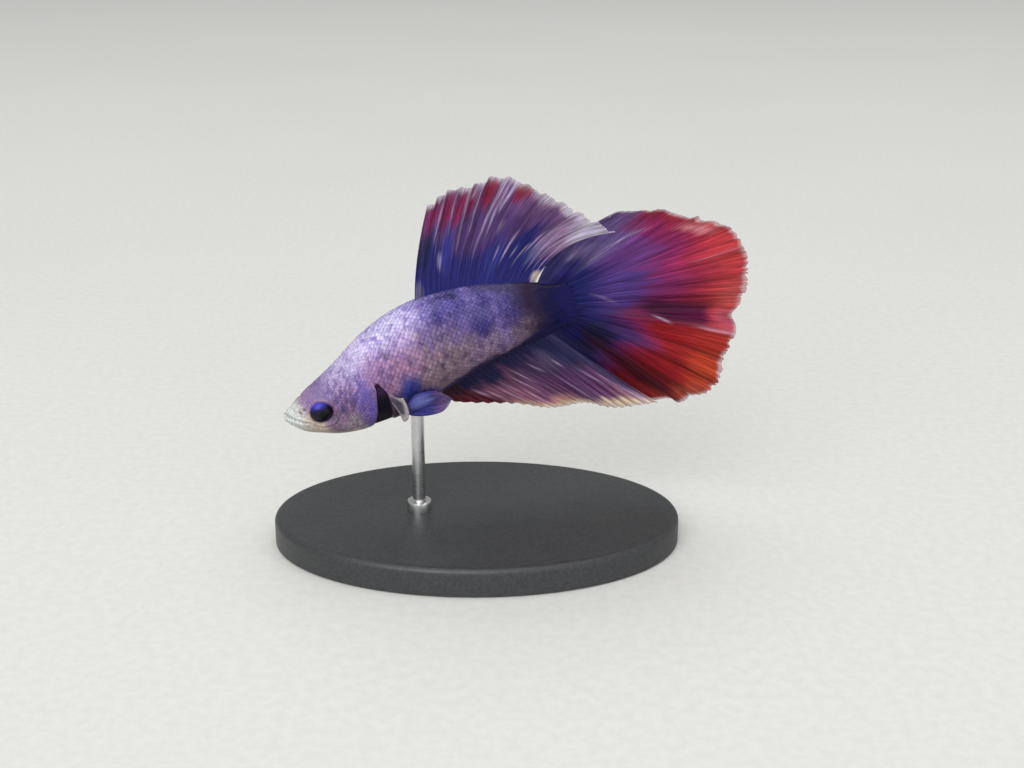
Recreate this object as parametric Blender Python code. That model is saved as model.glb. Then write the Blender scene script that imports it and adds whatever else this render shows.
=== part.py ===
"""A betta, or Siamese fighting fish: a long-finned male as a life-size model on a display stand.

The fish is drawn straight in its own frame, in shares of its body length: x runs from the snout to
the tail, z is up, and -y is the fish's left side. bend() then curves it along its spine, and its
parent empty sets the pose: nose down, rolled towards its left side, tail swung away and back.
The origin is the middle of the stand's foot.
"""

import math

import bmesh
import bpy
import numpy as np
from mathutils import Euler, Matrix, Vector

MM = 0.001

# Driving dimensions
LENGTH = 40 * MM  # snout to the root of the tail fin
GAP = 0.3 * MM / LENGTH  # clearance between neighbouring pieces, as a share of LENGTH
FIN_THICKNESS = 0.55 * MM
SIDES = {"left": -1, "right": 1}

# Pose
PITCH = math.radians(18)  # nose down
ROLL = math.radians(10)  # back leaning to the fish's left
YAW = math.radians(20)  # tail swung away from the fish's left
TAIL_SWING = math.radians(27)  # how far the spine turns back to the left
SWING_FROM, SWING_TO = 0.50, 1.10
POSE_POINT = 0.5  # this place on the spine stands over POSE_AT
POSE_AT = Vector((-7, 0, 27)) * MM

# Body: place along it, height of the back, of the belly and of the widest line, and half width
BODY = (
    (0.000, -0.002, -0.036, -0.018, 0.020),
    (0.030, 0.016, -0.074, -0.024, 0.040),
    (0.100, 0.046, -0.120, -0.026, 0.070),
    (0.200, 0.086, -0.160, -0.022, 0.095),
    (0.310, 0.146, -0.172, -0.012, 0.108),
    (0.430, 0.188, -0.164, -0.004, 0.110),
    (0.550, 0.198, -0.150, 0.004, 0.100),
    (0.700, 0.176, -0.128, 0.010, 0.076),
    (0.850, 0.137, -0.098, 0.014, 0.046),
    (1.000, 0.103, -0.066, 0.018, 0.022),
)
FULLNESS = 0.86  # 1 makes the cross-section an ellipse, less makes it flatter-sided
HEAD_END, TRUNK_END = 0.325, 0.80
RING_POINTS = 28

# Head
EYE_PLACE, EYE_HEIGHT = 0.112, -0.014
EYE_RADIUS, EYE_DEPTH = 0.040, 0.030  # seen from the side, and from the middle outwards
EYE_SUNK = 0.020  # how far its middle lies inside the skin
MOUTH_CORNER, MOUTH_CORNER_HEIGHT, MOUTH_FRONT_HEIGHT = 0.062, -0.040, 0.004
GILL_MIDDLE, GILL_SIZE = (0.218, -0.056), (0.072, 0.086)
GILL_LIFT, GILL_THICKNESS = 0.008, 0.017  # the lift is at its rear edge
GILL_RINGS = (0.1, 0.4, 0.65, 0.85, 1.0)  # its rings of points, from the middle to the edge
CUT_DEPTH = 0.030  # how far a cutter stands out of the skin
JAW_CUT_FRONT, JAW_CUT_BOTTOM, JAW_CUT_HALF_WIDTH = -0.05, -0.3, 0.2  # all clear of the head

# Fins. Rays: place across the fin, length, and angle at the root and at the tip. Folds: place
# across the fin, and how far the ray's tip lies off the middle plane, towards the right.
FOLD_GROWTH = 1.4  # the folds grow towards the tips as this power
# The dorsal and anal fins' places run from 0 at the front to 1 at the rear
DORSAL_BASE = (0.530, 0.916)
DORSAL_RAYS = (
    (0.00, 0.370, 76, 66),
    (0.25, 0.425, 76, 63),
    (0.50, 0.460, 70, 53),
    (0.75, 0.430, 60, 38),
    (1.00, 0.395, 57, 14),
)
DORSAL_FOLDS = (
    (0.00, -0.090),
    (0.16, -0.105),
    (0.30, -0.140),
    (0.44, -0.115),
    (0.60, -0.160),
    (0.74, -0.145),
    (0.88, -0.165),
    (1.00, -0.165),
)
ANAL_BASE = (0.515, 0.914)
ANAL_RAYS = (
    (0.00, 0.080, -68, -52),
    (0.25, 0.270, -58, -44),
    (0.50, 0.345, -58, -44),
    (0.75, 0.390, -56, -46),
    (1.00, 0.455, -51, -43),
)
ANAL_FOLDS = (
    (0.00, 0.000),
    (0.20, 0.020),
    (0.40, -0.020),
    (0.60, 0.005),
    (0.80, -0.040),
    (1.00, -0.035),
)
# The tail fin's places run from 0 at its lower edge to 1 at its upper edge. Its root goes round the
# end of the tail stalk, so that its first and last rays start below and above the stalk.
CAUDAL_FROM, CAUDAL_CORNER = 0.938, 0.07  # where those rays start, and the corner's place across the fin
CAUDAL_RAYS = (
    (0.00, 0.455, -58, -55),
    (0.10, 0.535, -48, -57),
    (0.20, 0.575, -35, -44),
    (0.30, 0.571, -24, -30),
    (0.38, 0.580, -17, -20),
    (0.46, 0.590, -12, -15),
    (0.55, 0.608, -4, -6),
    (0.66, 0.624, 5, 6),
    (0.76, 0.595, 15, 19),
    (0.84, 0.520, 24, 29),
    (0.92, 0.440, 37, 39),
    (1.00, 0.390, 60, 22),
)
CAUDAL_FOLDS = (
    (0.000, 0.050),
    (0.100, 0.035),
    (0.200, -0.020),
    (0.290, 0.010),
    (0.370, -0.030),
    (0.455, 0.060),
    (0.550, 0.000),
    (0.660, -0.030),
    (0.760, -0.030),
    (0.860, -0.080),
    (0.940, -0.085),
    (1.000, -0.092),
)
PELVIC_ROOT, PELVIC_LENGTH, PELVIC_WIDTH = (0.345, -0.102), 0.168, 0.082
PELVIC_DROP, PELVIC_OUT = 0.052, 0.020  # how far its tip lies lower and further out than its root
PELVIC_AT_ROOT, PELVIC_SWELL, PELVIC_AT_TIP = 0.35, 2.0, 0.60  # shares of its width
PELVIC_OVER_KEEL = 0.030  # it follows the belly's side from here up
PECTORAL_ROOT, PECTORAL_LENGTH = (0.334, -0.040), 0.085
PECTORAL_ROOT_HEIGHT, PECTORAL_SPREAD = 0.040, math.radians(60)
PECTORAL_SLOPE = math.radians(-46)
PECTORAL_OUT = math.radians(58)  # how far it stands out from the body
PECTORAL_AT_ROOT = 0.6  # share of its spread there
PECTORAL_ROUNDING, PECTORAL_CURL = 0.9, 0.03

# Stand
BASE_LENGTH, BASE_WIDTH, BASE_HEIGHT, BASE_BEVEL = 56 * MM, 36 * MM, 4 * MM, 0.8 * MM
ROD_RADIUS, ROD_PLACE = 0.9 * MM, 0.43
ROD_REACH = 0.08  # length of belly on each side of the rod that its top keeps clear of
STAND_GAP = 0.3 * MM


def curve(stations, at, column):
    """Smooth curve through one column of the stations, over their first column, read at some places."""
    table = np.array(stations, float)
    x, y = table[:, 0], table[:, column]
    slope = np.gradient(y, x)
    at = np.clip(at, x[0], x[-1])
    i = np.clip(np.searchsorted(x, at, side="right") - 1, 0, len(x) - 2)
    step = x[i + 1] - x[i]
    t = (at - x[i]) / step
    start = (1 + 2 * t) * (1 - t) ** 2 * y[i] + t * (1 - t) ** 2 * step * slope[i]
    end = t * t * (3 - 2 * t) * y[i + 1] - t * t * (1 - t) * step * slope[i + 1]
    return start + end


def ease(value):
    """0 below 0, 1 above 1, and a smooth step between."""
    t = np.clip(value, 0, 1)
    return t * t * (3 - 2 * t)


def back(x):
    return curve(BODY, x, 1)


def belly(x):
    return curve(BODY, x, 2)


def half_width(x, z):
    """Distance from the fish's middle plane to its skin."""
    widest = curve(BODY, x, 3)
    reach = np.where(z > widest, back(x) - widest, widest - belly(x))
    share = np.clip((z - widest) / reach, -1, 1)
    return curve(BODY, x, 4) * (1 - share**2) ** (FULLNESS / 2)


def off_skin(x, z, distance):
    """Places at a distance straight out from the skin, on the side where y is positive."""
    step = 0.0005
    width = half_width(x, z)
    slope_x = (half_width(x + step, z) - width) / step
    slope_z = (half_width(x, z + step) - width) / step
    out = distance / np.sqrt(1 + slope_x**2 + slope_z**2)
    return x - slope_x * out, width + out, z - slope_z * out


def bend(points):
    """Straight points, in shares of LENGTH, put along the curved spine, in metres."""
    points = np.asarray(points, float)
    x = np.linspace(-0.2, 2.0, 1101)
    heading = -TAIL_SWING * ease((x - SWING_FROM) / (SWING_TO - SWING_FROM))
    step = x[1] - x[0]
    along = x[0] + np.cumsum(np.cos(heading)) * step - step
    aside = np.cumsum(np.sin(heading)) * step
    turn = np.interp(points[..., 0], x, heading)
    bent = points.copy()
    bent[..., 0] = np.interp(points[..., 0], x, along) - points[..., 1] * np.sin(turn)
    bent[..., 1] = np.interp(points[..., 0], x, aside) + points[..., 1] * np.cos(turn)
    return bent * LENGTH


def material(name, colour, roughness=0.4, metallic=0.0):
    made = bpy.data.materials.get(name) or bpy.data.materials.new(name)
    made.use_nodes = True
    shader = made.node_tree.nodes["Principled BSDF"]
    shader.inputs["Base Color"].default_value = (*colour, 1)
    shader.inputs["Roughness"].default_value = roughness
    shader.inputs["Metallic"].default_value = metallic
    return made


def add_object(name, mesh, finish, parent=None):
    made = bpy.data.objects.new(name, mesh)
    bpy.context.scene.collection.objects.link(made)
    made.parent = parent
    if finish:
        mesh.materials.append(finish)
    return made


def as_cutter(obj):
    obj.hide_render = True
    obj.display_type = "WIRE"
    return obj


def boolean(obj, cutter, operation="DIFFERENCE"):
    modifier = obj.modifiers.new(f"{operation.lower()}_{cutter.name}", "BOOLEAN")
    modifier.operation = operation
    modifier.solver = "EXACT"
    modifier.object = cutter


def mesh_from_grid(name, points, closed_round=False, caps=False):
    """A mesh of quads over rows of points. Rows may close round, and the first and last be capped."""
    bm = bmesh.new()
    rows = [[bm.verts.new(p) for p in row] for row in points]
    count = len(rows[0])
    for lower, upper in zip(rows, rows[1:]):
        for i in range(count if closed_round else count - 1):
            j = (i + 1) % count
            bm.faces.new((lower[i], lower[j], upper[j], upper[i]))
    if caps:
        bm.faces.new(rows[0][::-1])
        bm.faces.new(rows[-1])
    bmesh.ops.recalc_face_normals(bm, faces=bm.faces)
    mesh = bpy.data.meshes.new(name)
    bm.to_mesh(mesh)
    bm.free()
    mesh.shade_smooth()
    return mesh


def body_mesh(name, start, end, rings):
    """The closed body between two places along it."""
    at = start + (end - start) * np.linspace(0, 1, rings)[:, None]
    if start == 0:
        at = end * (1 - np.cos(np.linspace(0, math.pi / 2, rings)))[:, None]
    around = np.linspace(0, 2 * math.pi, RING_POINTS, endpoint=False)[None, :]
    widest = curve(BODY, at, 3)
    reach = np.where(np.sin(around) > 0, back(at) - widest, widest - belly(at))
    z = widest + reach * np.sin(around)
    across = np.abs(np.cos(around)) ** FULLNESS * np.sign(np.cos(around))
    y = curve(BODY, at, 4) * across
    points = np.stack([at + 0 * z, y, z], axis=-1)
    return mesh_from_grid(name, bend(points), closed_round=True, caps=True)


def fan(roots, ray_table, fold_table, rows):
    """Points of a fin whose rays grow from its roots and turn from their root to their tip angle."""
    a = np.linspace(0, 1, len(roots))[:, None]
    r = np.linspace(0, 1, rows)[None, :]
    root, tip = (np.radians(curve(ray_table, a, column)) for column in (2, 3))
    angle = root + (tip - root) * (r[:, 1:] + r[:, :-1]) / 2
    step = curve(ray_table, a, 1) / (rows - 1)
    x, z = (
        start + np.hstack([0 * a, np.cumsum(step * direction, axis=1)])
        for start, direction in ((roots[:, :1], np.cos(angle)), (roots[:, 1:], np.sin(angle)))
    )
    y = curve(fold_table, a, 1) * r**FOLD_GROWTH
    return np.stack([x, y, z], axis=-1)


def add_fin(name, points, colour, parent):
    """A fin of even thickness over a grid of points in the fish's straight frame."""
    finish = material(f"{name}_skin", colour)
    obj = add_object(name, mesh_from_grid(name, bend(points)), finish, parent)
    thickness = obj.modifiers.new("thickness", "SOLIDIFY")
    thickness.thickness = FIN_THICKNESS
    thickness.offset = 0


def add_dorsal_fin(parent):
    x = np.linspace(*DORSAL_BASE, 29)
    roots = np.stack([x, back(x) + GAP], axis=-1)
    add_fin("dorsal_fin", fan(roots, DORSAL_RAYS, DORSAL_FOLDS, 8), (0.03, 0.03, 0.14), parent)


def add_anal_fin(parent):
    x = np.linspace(*ANAL_BASE, 29)
    roots = np.stack([x, belly(x) - GAP], axis=-1)
    add_fin("anal_fin", fan(roots, ANAL_RAYS, ANAL_FOLDS, 8), (0.20, 0.06, 0.15), parent)


def caudal_roots(a):
    """Where the tail fin's rays start: up across the stalk's end, and forward along its edges."""
    up = np.clip((a - CAUDAL_CORNER) / (1 - 2 * CAUDAL_CORNER), 0, 1)
    forward = ease(1 - np.minimum(a, 1 - a) / CAUDAL_CORNER)
    x = 1 + GAP - (1 + GAP - CAUDAL_FROM) * forward
    low, high = belly(x) - GAP * forward, back(x) + GAP * forward
    return np.stack([x, low + (high - low) * up], axis=-1)


def add_caudal_fin(parent):
    roots = caudal_roots(np.linspace(0, 1, 49))
    add_fin("caudal_fin", fan(roots, CAUDAL_RAYS, CAUDAL_FOLDS, 9), (0.36, 0.03, 0.04), parent)


def add_pelvic_fins(parent):
    """Two leaf-shaped fins that start low behind the head and lie back along the belly."""
    r = np.linspace(0, 1, 8)[None, :]
    across = np.linspace(-0.5, 0.5, 5)[:, None]
    leaf = PELVIC_AT_ROOT + PELVIC_SWELL * r * (1 - r) + (PELVIC_AT_TIP - PELVIC_AT_ROOT) * r
    x = PELVIC_ROOT[0] + PELVIC_LENGTH * r + 0 * across
    z = PELVIC_ROOT[1] - PELVIC_DROP * r + PELVIC_WIDTH * leaf * across
    above_keel = np.maximum(z, belly(x) + PELVIC_OVER_KEEL)
    y = half_width(x, above_keel) + GAP + FIN_THICKNESS / LENGTH + PELVIC_OUT * r
    for side, sign in SIDES.items():
        points = np.stack([x, sign * y, z], axis=-1)
        add_fin(f"pelvic_fin_{side}", points, (0.06, 0.06, 0.26), parent)


def add_pectoral_fins(parent):
    """A small fan on each side, close behind the gill cover, held out from the body."""
    r = np.linspace(0, 1, 6)[None, :]
    across = np.linspace(-0.5, 0.5, 9)[:, None]
    spread = PECTORAL_SPREAD * (PECTORAL_AT_ROOT + (1 - PECTORAL_AT_ROOT) * r)
    angle = PECTORAL_SLOPE + spread * across
    reach = PECTORAL_LENGTH * r * (1 - PECTORAL_ROUNDING * across**2)
    x = PECTORAL_ROOT[0] + reach * np.cos(angle) * math.cos(PECTORAL_OUT)
    z = PECTORAL_ROOT[1] + PECTORAL_ROOT_HEIGHT * across + reach * np.sin(angle)
    skin = half_width(*PECTORAL_ROOT) + GAP + FIN_THICKNESS / LENGTH
    y = skin + reach * math.sin(PECTORAL_OUT) - PECTORAL_CURL * r**2
    for side, sign in SIDES.items():
        points = np.stack([x, sign * y, z], axis=-1)
        add_fin(f"pectoral_fin_{side}", points, (0.35, 0.33, 0.42), parent)


def gill_cover(name, sign, grow):
    """A domed plate over the gills. Grown, it is the room that the head leaves for it."""
    turn = np.linspace(0, 2 * math.pi, 20, endpoint=False)[None, :]
    ring = np.array(GILL_RINGS)[:, None]
    x = GILL_MIDDLE[0] + (GILL_SIZE[0] + grow) * ring * np.cos(turn)
    z = GILL_MIDDLE[1] + (GILL_SIZE[1] + grow) * ring * np.sin(turn)
    lift = GILL_LIFT * (0.4 + 0.6 * ease((x - GILL_MIDDLE[0]) / GILL_SIZE[0]))
    outside = off_skin(x, z, CUT_DEPTH if grow else lift)
    inside = off_skin(x, z, lift - GILL_THICKNESS - grow)
    layers = [np.stack([x, sign * y, z], axis=-1) for x, y, z in (outside, inside)]
    rows = np.concatenate([layers[0], layers[1][::-1]])
    return mesh_from_grid(name, bend(rows), closed_round=True, caps=True)


def add_gill_covers(head, parent):
    finish = material("gill_cover", (0.30, 0.18, 0.38))
    for side, sign in SIDES.items():
        name = f"gill_cover_{side}"
        add_object(name, gill_cover(name, sign, 0), finish, parent)
        room = gill_cover(f"{name}_room", sign, GAP)
        cutter = as_cutter(add_object(f"{name}_room", room, None, parent))
        boolean(head, cutter)


def ellipsoid(name, centre, radii):
    bm = bmesh.new()
    bmesh.ops.create_uvsphere(bm, u_segments=16, v_segments=10, radius=1)
    bm.transform(Matrix.Translation(centre) @ Matrix.Diagonal((*radii, 1)))
    mesh = bpy.data.meshes.new(name)
    bm.to_mesh(mesh)
    bm.free()
    mesh.shade_smooth()
    return mesh


def add_eyes(head, parent):
    finish = material("eye", (0.02, 0.02, 0.06), roughness=0.08)
    radii = Vector((EYE_RADIUS, EYE_DEPTH, EYE_RADIUS)) * LENGTH
    for side, sign in SIDES.items():
        out = half_width(EYE_PLACE, EYE_HEIGHT) - EYE_SUNK
        centre = Vector(bend((EYE_PLACE, sign * out, EYE_HEIGHT)))
        name = f"eye_{side}"
        add_object(name, ellipsoid(name, centre, radii), finish, parent)
        room = ellipsoid(f"{name}_socket", centre, radii + Vector((GAP * LENGTH,) * 3))
        socket = as_cutter(add_object(f"{name}_socket", room, None, parent))
        boolean(head, socket)


def jaw_block(name, grow):
    """A wedge under the mouth line, which slopes down and back from the lips."""
    slope = (MOUTH_CORNER_HEIGHT - MOUTH_FRONT_HEIGHT) / MOUTH_CORNER
    top_at_front = MOUTH_FRONT_HEIGHT + slope * JAW_CUT_FRONT + grow
    corner = MOUTH_CORNER + grow
    outline = (
        (JAW_CUT_FRONT, top_at_front),
        (corner, MOUTH_CORNER_HEIGHT + grow),
        (corner, JAW_CUT_BOTTOM),
        (JAW_CUT_FRONT, JAW_CUT_BOTTOM),
    )
    points = [[(x, sign * JAW_CUT_HALF_WIDTH, z) for x, z in outline] for sign in (-1, 1)]
    return mesh_from_grid(name, bend(points), closed_round=True, caps=True)


def add_head(parent):
    skin = material("skin_head", (0.55, 0.46, 0.62))
    end = HEAD_END - GAP / 2
    head = add_object("head", body_mesh("head", 0, end, 13), skin, parent)
    jaw = add_object("lower_jaw", body_mesh("lower_jaw", 0, end, 13), skin, parent)
    block = add_object("jaw_block", jaw_block("jaw_block", 0), None, parent)
    boolean(jaw, as_cutter(block), "INTERSECT")
    room = add_object("jaw_room", jaw_block("jaw_room", GAP), None, parent)
    boolean(head, as_cutter(room))
    add_gill_covers(head, parent)
    add_eyes(head, parent)


def add_body(parent):
    trunk_skin = material("skin_trunk", (0.24, 0.18, 0.40))
    tail_skin = material("skin_tail", (0.03, 0.03, 0.09))
    trunk = body_mesh("trunk", HEAD_END + GAP / 2, TRUNK_END - GAP / 2, 16)
    add_object("trunk", trunk, trunk_skin, parent)
    tail = body_mesh("tail_stalk", TRUNK_END + GAP / 2, 1.0, 8)
    add_object("tail_stalk", tail, tail_skin, parent)


def fish_pose():
    """The empty that holds the fish, turned to its pose."""
    pose = bpy.data.objects.new("fish_pose", None)
    bpy.context.scene.collection.objects.link(pose)
    turn = Euler((ROLL, -PITCH, YAW), "XYZ")
    pose.rotation_euler = turn
    on_spine = Vector(bend((POSE_POINT, 0, 0)))
    pose.location = POSE_AT - turn.to_matrix() @ on_spine
    bpy.context.view_layer.update()
    return pose


def rod_top(pose):
    """Middle of the rod's top, just under the belly: it is the lowest skin over the rod."""
    around = np.linspace(0, 2 * math.pi, 121)
    at = ROD_PLACE + np.linspace(-ROD_REACH, ROD_REACH, 65)[:, None]
    z = (back(at) + belly(at)) / 2 + (belly(at) - back(at)) / 2 * np.sin(around)
    y = half_width(at, z) * np.sign(np.cos(around))
    skin = bend(np.stack([at + 0 * z, y, z], axis=-1)).reshape(-1, 3)
    matrix = np.array(pose.matrix_world)
    skin = skin @ matrix[:3, :3].T + matrix[:3, 3]
    middle = np.array(pose.matrix_world @ Vector(bend((ROD_PLACE, 0, belly(ROD_PLACE)))))
    near = np.hypot(*(skin[:, :2] - middle[:2]).T) < 1.5 * ROD_RADIUS
    return Vector((middle[0], middle[1], skin[near, 2].min() - STAND_GAP))


def add_stand(pose):
    bm = bmesh.new()
    bmesh.ops.create_cone(
        bm, cap_ends=True, segments=48, radius1=0.5, radius2=0.5, depth=BASE_HEIGHT
    )
    size = Matrix.Diagonal((BASE_LENGTH, BASE_WIDTH, 1, 1))
    bm.transform(Matrix.Translation((0, 0, BASE_HEIGHT / 2)) @ size)
    mesh = bpy.data.meshes.new("stand_base")
    bm.to_mesh(mesh)
    bm.free()
    base = add_object("stand_base", mesh, material("stand_base", (0.03, 0.03, 0.035)))
    bevel = base.modifiers.new("edge", "BEVEL")
    bevel.width, bevel.segments = BASE_BEVEL, 2
    bevel.limit_method = "ANGLE"

    top = rod_top(pose)
    height = top.z - BASE_HEIGHT - STAND_GAP
    bm = bmesh.new()
    bmesh.ops.create_cone(
        bm,
        cap_ends=True,
        segments=20,
        radius1=ROD_RADIUS,
        radius2=ROD_RADIUS,
        depth=height,
    )
    mesh = bpy.data.meshes.new("stand_rod")
    bm.to_mesh(mesh)
    bm.free()
    steel = material("stand_rod", (0.6, 0.6, 0.62), roughness=0.25, metallic=1.0)
    rod = add_object("stand_rod", mesh, steel)
    rod.location = (top.x, top.y, top.z - height / 2)
    for each in (base, rod):
        each.data.shade_smooth()
        each.data.set_sharp_from_angle(angle=math.radians(30))


def main():
    for obj in list(bpy.data.objects):
        bpy.data.objects.remove(obj)
    pose = fish_pose()
    add_head(pose)
    add_body(pose)
    add_dorsal_fin(pose)
    add_anal_fin(pose)
    add_caudal_fin(pose)
    add_pelvic_fins(pose)
    add_pectoral_fins(pose)
    add_stand(pose)


main()
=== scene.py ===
"""Looks of the life-size betta model: skin, scales, fins, eyes, stand, light and camera.

The fish is drawn straight in its own frame, in shares of its body length: x runs from the snout to
the tail, z is up, and -y is the fish's left side. place() bends it along its spine and sets its pose.
The driving values and shape functions are those of the solids that the frame holds.
"""

import math

import bpy
import numpy as np
from mathutils import Euler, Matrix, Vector, noise

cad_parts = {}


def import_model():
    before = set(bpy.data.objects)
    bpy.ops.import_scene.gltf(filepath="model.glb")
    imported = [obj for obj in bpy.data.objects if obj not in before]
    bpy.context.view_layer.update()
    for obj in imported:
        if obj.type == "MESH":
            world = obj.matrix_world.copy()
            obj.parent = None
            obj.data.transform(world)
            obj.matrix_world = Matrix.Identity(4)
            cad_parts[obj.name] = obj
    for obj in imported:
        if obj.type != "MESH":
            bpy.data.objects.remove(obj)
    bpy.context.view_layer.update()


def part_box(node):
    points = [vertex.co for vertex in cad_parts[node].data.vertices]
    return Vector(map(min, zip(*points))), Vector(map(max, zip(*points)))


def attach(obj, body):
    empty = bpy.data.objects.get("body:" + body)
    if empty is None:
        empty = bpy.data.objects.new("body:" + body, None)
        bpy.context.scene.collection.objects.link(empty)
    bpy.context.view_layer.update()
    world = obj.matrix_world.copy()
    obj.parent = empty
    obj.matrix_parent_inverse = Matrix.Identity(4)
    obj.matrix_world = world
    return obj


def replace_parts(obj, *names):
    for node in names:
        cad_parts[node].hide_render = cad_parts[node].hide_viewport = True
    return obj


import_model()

MM = 0.001

# --- Driving values of the solids ---------------------------------------------------------------
LENGTH = 40 * MM  # snout to the root of the tail fin
GAP = 0.3 * MM / LENGTH
SIDES = {"left": -1, "right": 1}

PITCH, ROLL, YAW = (math.radians(angle) for angle in (18, 10, 20))
TAIL_SWING = math.radians(27)
SWING_FROM, SWING_TO = 0.5, 1.1

# Body: place along it, height of the back, of the belly and of the widest line, and half width
BODY = (
    (0, -0.002, -0.036, -0.018, 0.02), (0.03, 0.016, -0.074, -0.024, 0.04),
    (0.1, 0.046, -0.12, -0.026, 0.07), (0.2, 0.086, -0.16, -0.022, 0.095),
    (0.31, 0.146, -0.172, -0.012, 0.108), (0.43, 0.188, -0.164, -0.004, 0.11),
    (0.55, 0.198, -0.15, 0.004, 0.1), (0.7, 0.176, -0.128, 0.01, 0.076),
    (0.85, 0.137, -0.098, 0.014, 0.046), (1, 0.103, -0.066, 0.018, 0.022),
)
FULLNESS = 0.86
HEAD_END, TRUNK_END = 0.325, 0.8

EYE_PLACE, EYE_HEIGHT = 0.112, -0.014
EYE_RADIUS = 0.04
MOUTH_CORNER, MOUTH_CORNER_HEIGHT, MOUTH_FRONT_HEIGHT = 0.062, -0.04, 0.004

# Fins. Rays: place across the fin, length, and angle at the root and at the tip. Folds: place
# across the fin, and how far the ray's tip lies off the middle plane, towards the right.
FOLD_GROWTH = 1.4
DORSAL_BASE = (0.53, 0.93)
DORSAL_RAYS = (
    (0, 0.37, 76, 66), (0.25, 0.425, 76, 63), (0.5, 0.46, 70, 53), (0.75, 0.43, 60, 38), (1, 0.395, 57, 14),
)
DORSAL_CREST = 0.56, 0.09, 0.042  # a longer fringe: its middle, its width and how much longer
DORSAL_FOLDS = (
    (0, -0.09), (0.16, -0.105), (0.3, -0.14), (0.44, -0.115), (0.6, -0.16), (0.74, -0.145), (0.88, -0.165),
    (1, -0.165),
)
ANAL_BASE = (0.515, 0.938)
ANAL_RAYS = (
    (0, 0.08, -68, -52), (0.25, 0.27, -58, -44), (0.5, 0.345, -58, -44), (0.75, 0.39, -56, -46),
    (1, 0.455, -51, -43),
)
ANAL_FOLDS = ((0, 0), (0.2, 0.02), (0.4, -0.02), (0.6, 0.005), (0.8, -0.04), (1, -0.035))
CAUDAL_FROM, CAUDAL_CORNER = 0.938, 0.07
CAUDAL_RAYS = (
    (0, 0.455, -58, -55), (0.1, 0.535, -48, -57), (0.2, 0.575, -35, -44), (0.3, 0.571, -24, -30),
    (0.38, 0.58, -17, -20), (0.46, 0.59, -12, -15), (0.55, 0.608, -4, -6), (0.66, 0.624, 5, 6),
    (0.76, 0.595, 15, 19), (0.84, 0.52, 24, 29), (0.92, 0.44, 37, 39), (1, 0.39, 60, 22),
)
CAUDAL_FOLDS = (
    (0, 0.05), (0.1, 0.035), (0.2, -0.02), (0.29, 0.01), (0.37, -0.03), (0.455, 0.06), (0.55, 0),
    (0.66, -0.03), (0.76, -0.03), (0.86, -0.08), (0.94, -0.085), (1, -0.092),
)
PELVIC_ROOT, PELVIC_LENGTH, PELVIC_WIDTH = (0.345, -0.102), 0.168, 0.082
PELVIC_DROP, PELVIC_OUT = 0.052, 0.02
PELVIC_AT_ROOT, PELVIC_SWELL, PELVIC_AT_TIP = 0.35, 2.0, 0.6
PELVIC_OVER_KEEL = 0.03
PELVIC_UPPER = 0.075  # how much fuller its upper half is
PECTORAL_ROOT, PECTORAL_LENGTH = (0.334, -0.04), 0.085
PECTORAL_ROOT_HEIGHT, PECTORAL_SPREAD = 0.04, math.radians(60)
PECTORAL_SLOPE, PECTORAL_OUT = math.radians(-46), math.radians(58)
PECTORAL_AT_ROOT = 0.6
PECTORAL_ROUNDING, PECTORAL_CURL = 0.9, 0.03

# --- Skin and scales ----------------------------------------------------------------------------
COAT = 0.1 * MM / LENGTH  # the skin lies this far inside the solids
SNOUT_TIP, SNOUT_CAP = -0.006, 0.012  # where the lips close, and over what length
ROD_INTO_BELLY = 0.8 * MM  # how far the rod's top sits inside the skin
BASE_FOOT, BASE_ROUND = 0.3 * MM, 0.8 * MM  # bevel under the base and round over its top edge
COLLAR_HEIGHT, COLLAR_BEVEL, COLLAR_INTO_BASE = 1.3 * MM, 0.25 * MM, 0.2 * MM
SHARP_FROM = math.radians(35)
SHEATH_LENGTH, SHEATH_EDGE = 0.06, 0.0022  # scaly root of the tail fin, and its half thickness at the end
SKIN_COLUMNS = 280
FINE_RINGS_END = 0.345  # the rings lie closer up to here
RINGS = {"cap": 14, "head": 168, "trunk": 136, "sheath": 14}
NOSTRILS = ((0.046, 0.006), (0.06, 0.014))
GILL_GAP_DEPTH = 0.022
# Lips: height over the mouth line, width, bulge. Eye: rings in shares of its radius, width, bulge.
MOUTH_RELIEF = ((0, 0.0026, -0.008), (0.0085, 0.0055, 0.004), (-0.009, 0.0065, 0.0055))
EYE_RINGS = ((0.92, 0.09, -0.0065), (1.16, 0.1, 0.003), (1.42, 0.12, -0.001))
THROAT_FOLDS = 4
GILL_LAMELLA = 0.0075  # from one fold of the gills to the next
GILL_OVERHANG = 0.006  # how far the cover's edge hangs over the gap
SHOULDER, SHOULDER_TOP = 0.328, 0.31  # the rear wall of the gill opening, and where it ends above
GILL_EDGE = (  # height, and where the gill cover ends there
    (-0.16, 0.214), (-0.134, 0.243), (-0.08, 0.268), (-0.03, 0.28), (0.045, 0.297),
)

# Scales: from the brow to the root of the tail fin, in staggered rings
SCALES_FROM, SCALES_TO, HEAD_SCALES_TO = 0.1, 1.042, 0.3
SCALES_ROUND_HEAD, SCALES_ROUND_BODY = 60, 50
SCALE_LENGTH, SCALE_WIDTH = 2.9, 1.14  # in steps between rings, and between scales of a ring
SCALE_STEP = 0.0056, 0.0135  # between rings: the least, and how it grows with the body's depth
SCALE_THICKNESS = 0.0011
SCALE_LIFT_HEAD, SCALE_LIFT_BODY = 0.003, 0.0038
SCALE_GRID = (7, 6)
SCALE_PATCH = 0.003  # size of a scale on the unwrap
SCALE_ROOT_DEPTH = 0.002
SCALE_STRETCHES = (  # name of each joined coat piece, and where it starts and ends
    ("head", 0, HEAD_SCALES_TO), ("front", HEAD_SCALES_TO, 0.52), ("middle", 0.52, 0.76), ("rear", 0.76, 2),
)
UV_FROM, UV_TO = 0.02, 0.98
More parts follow.
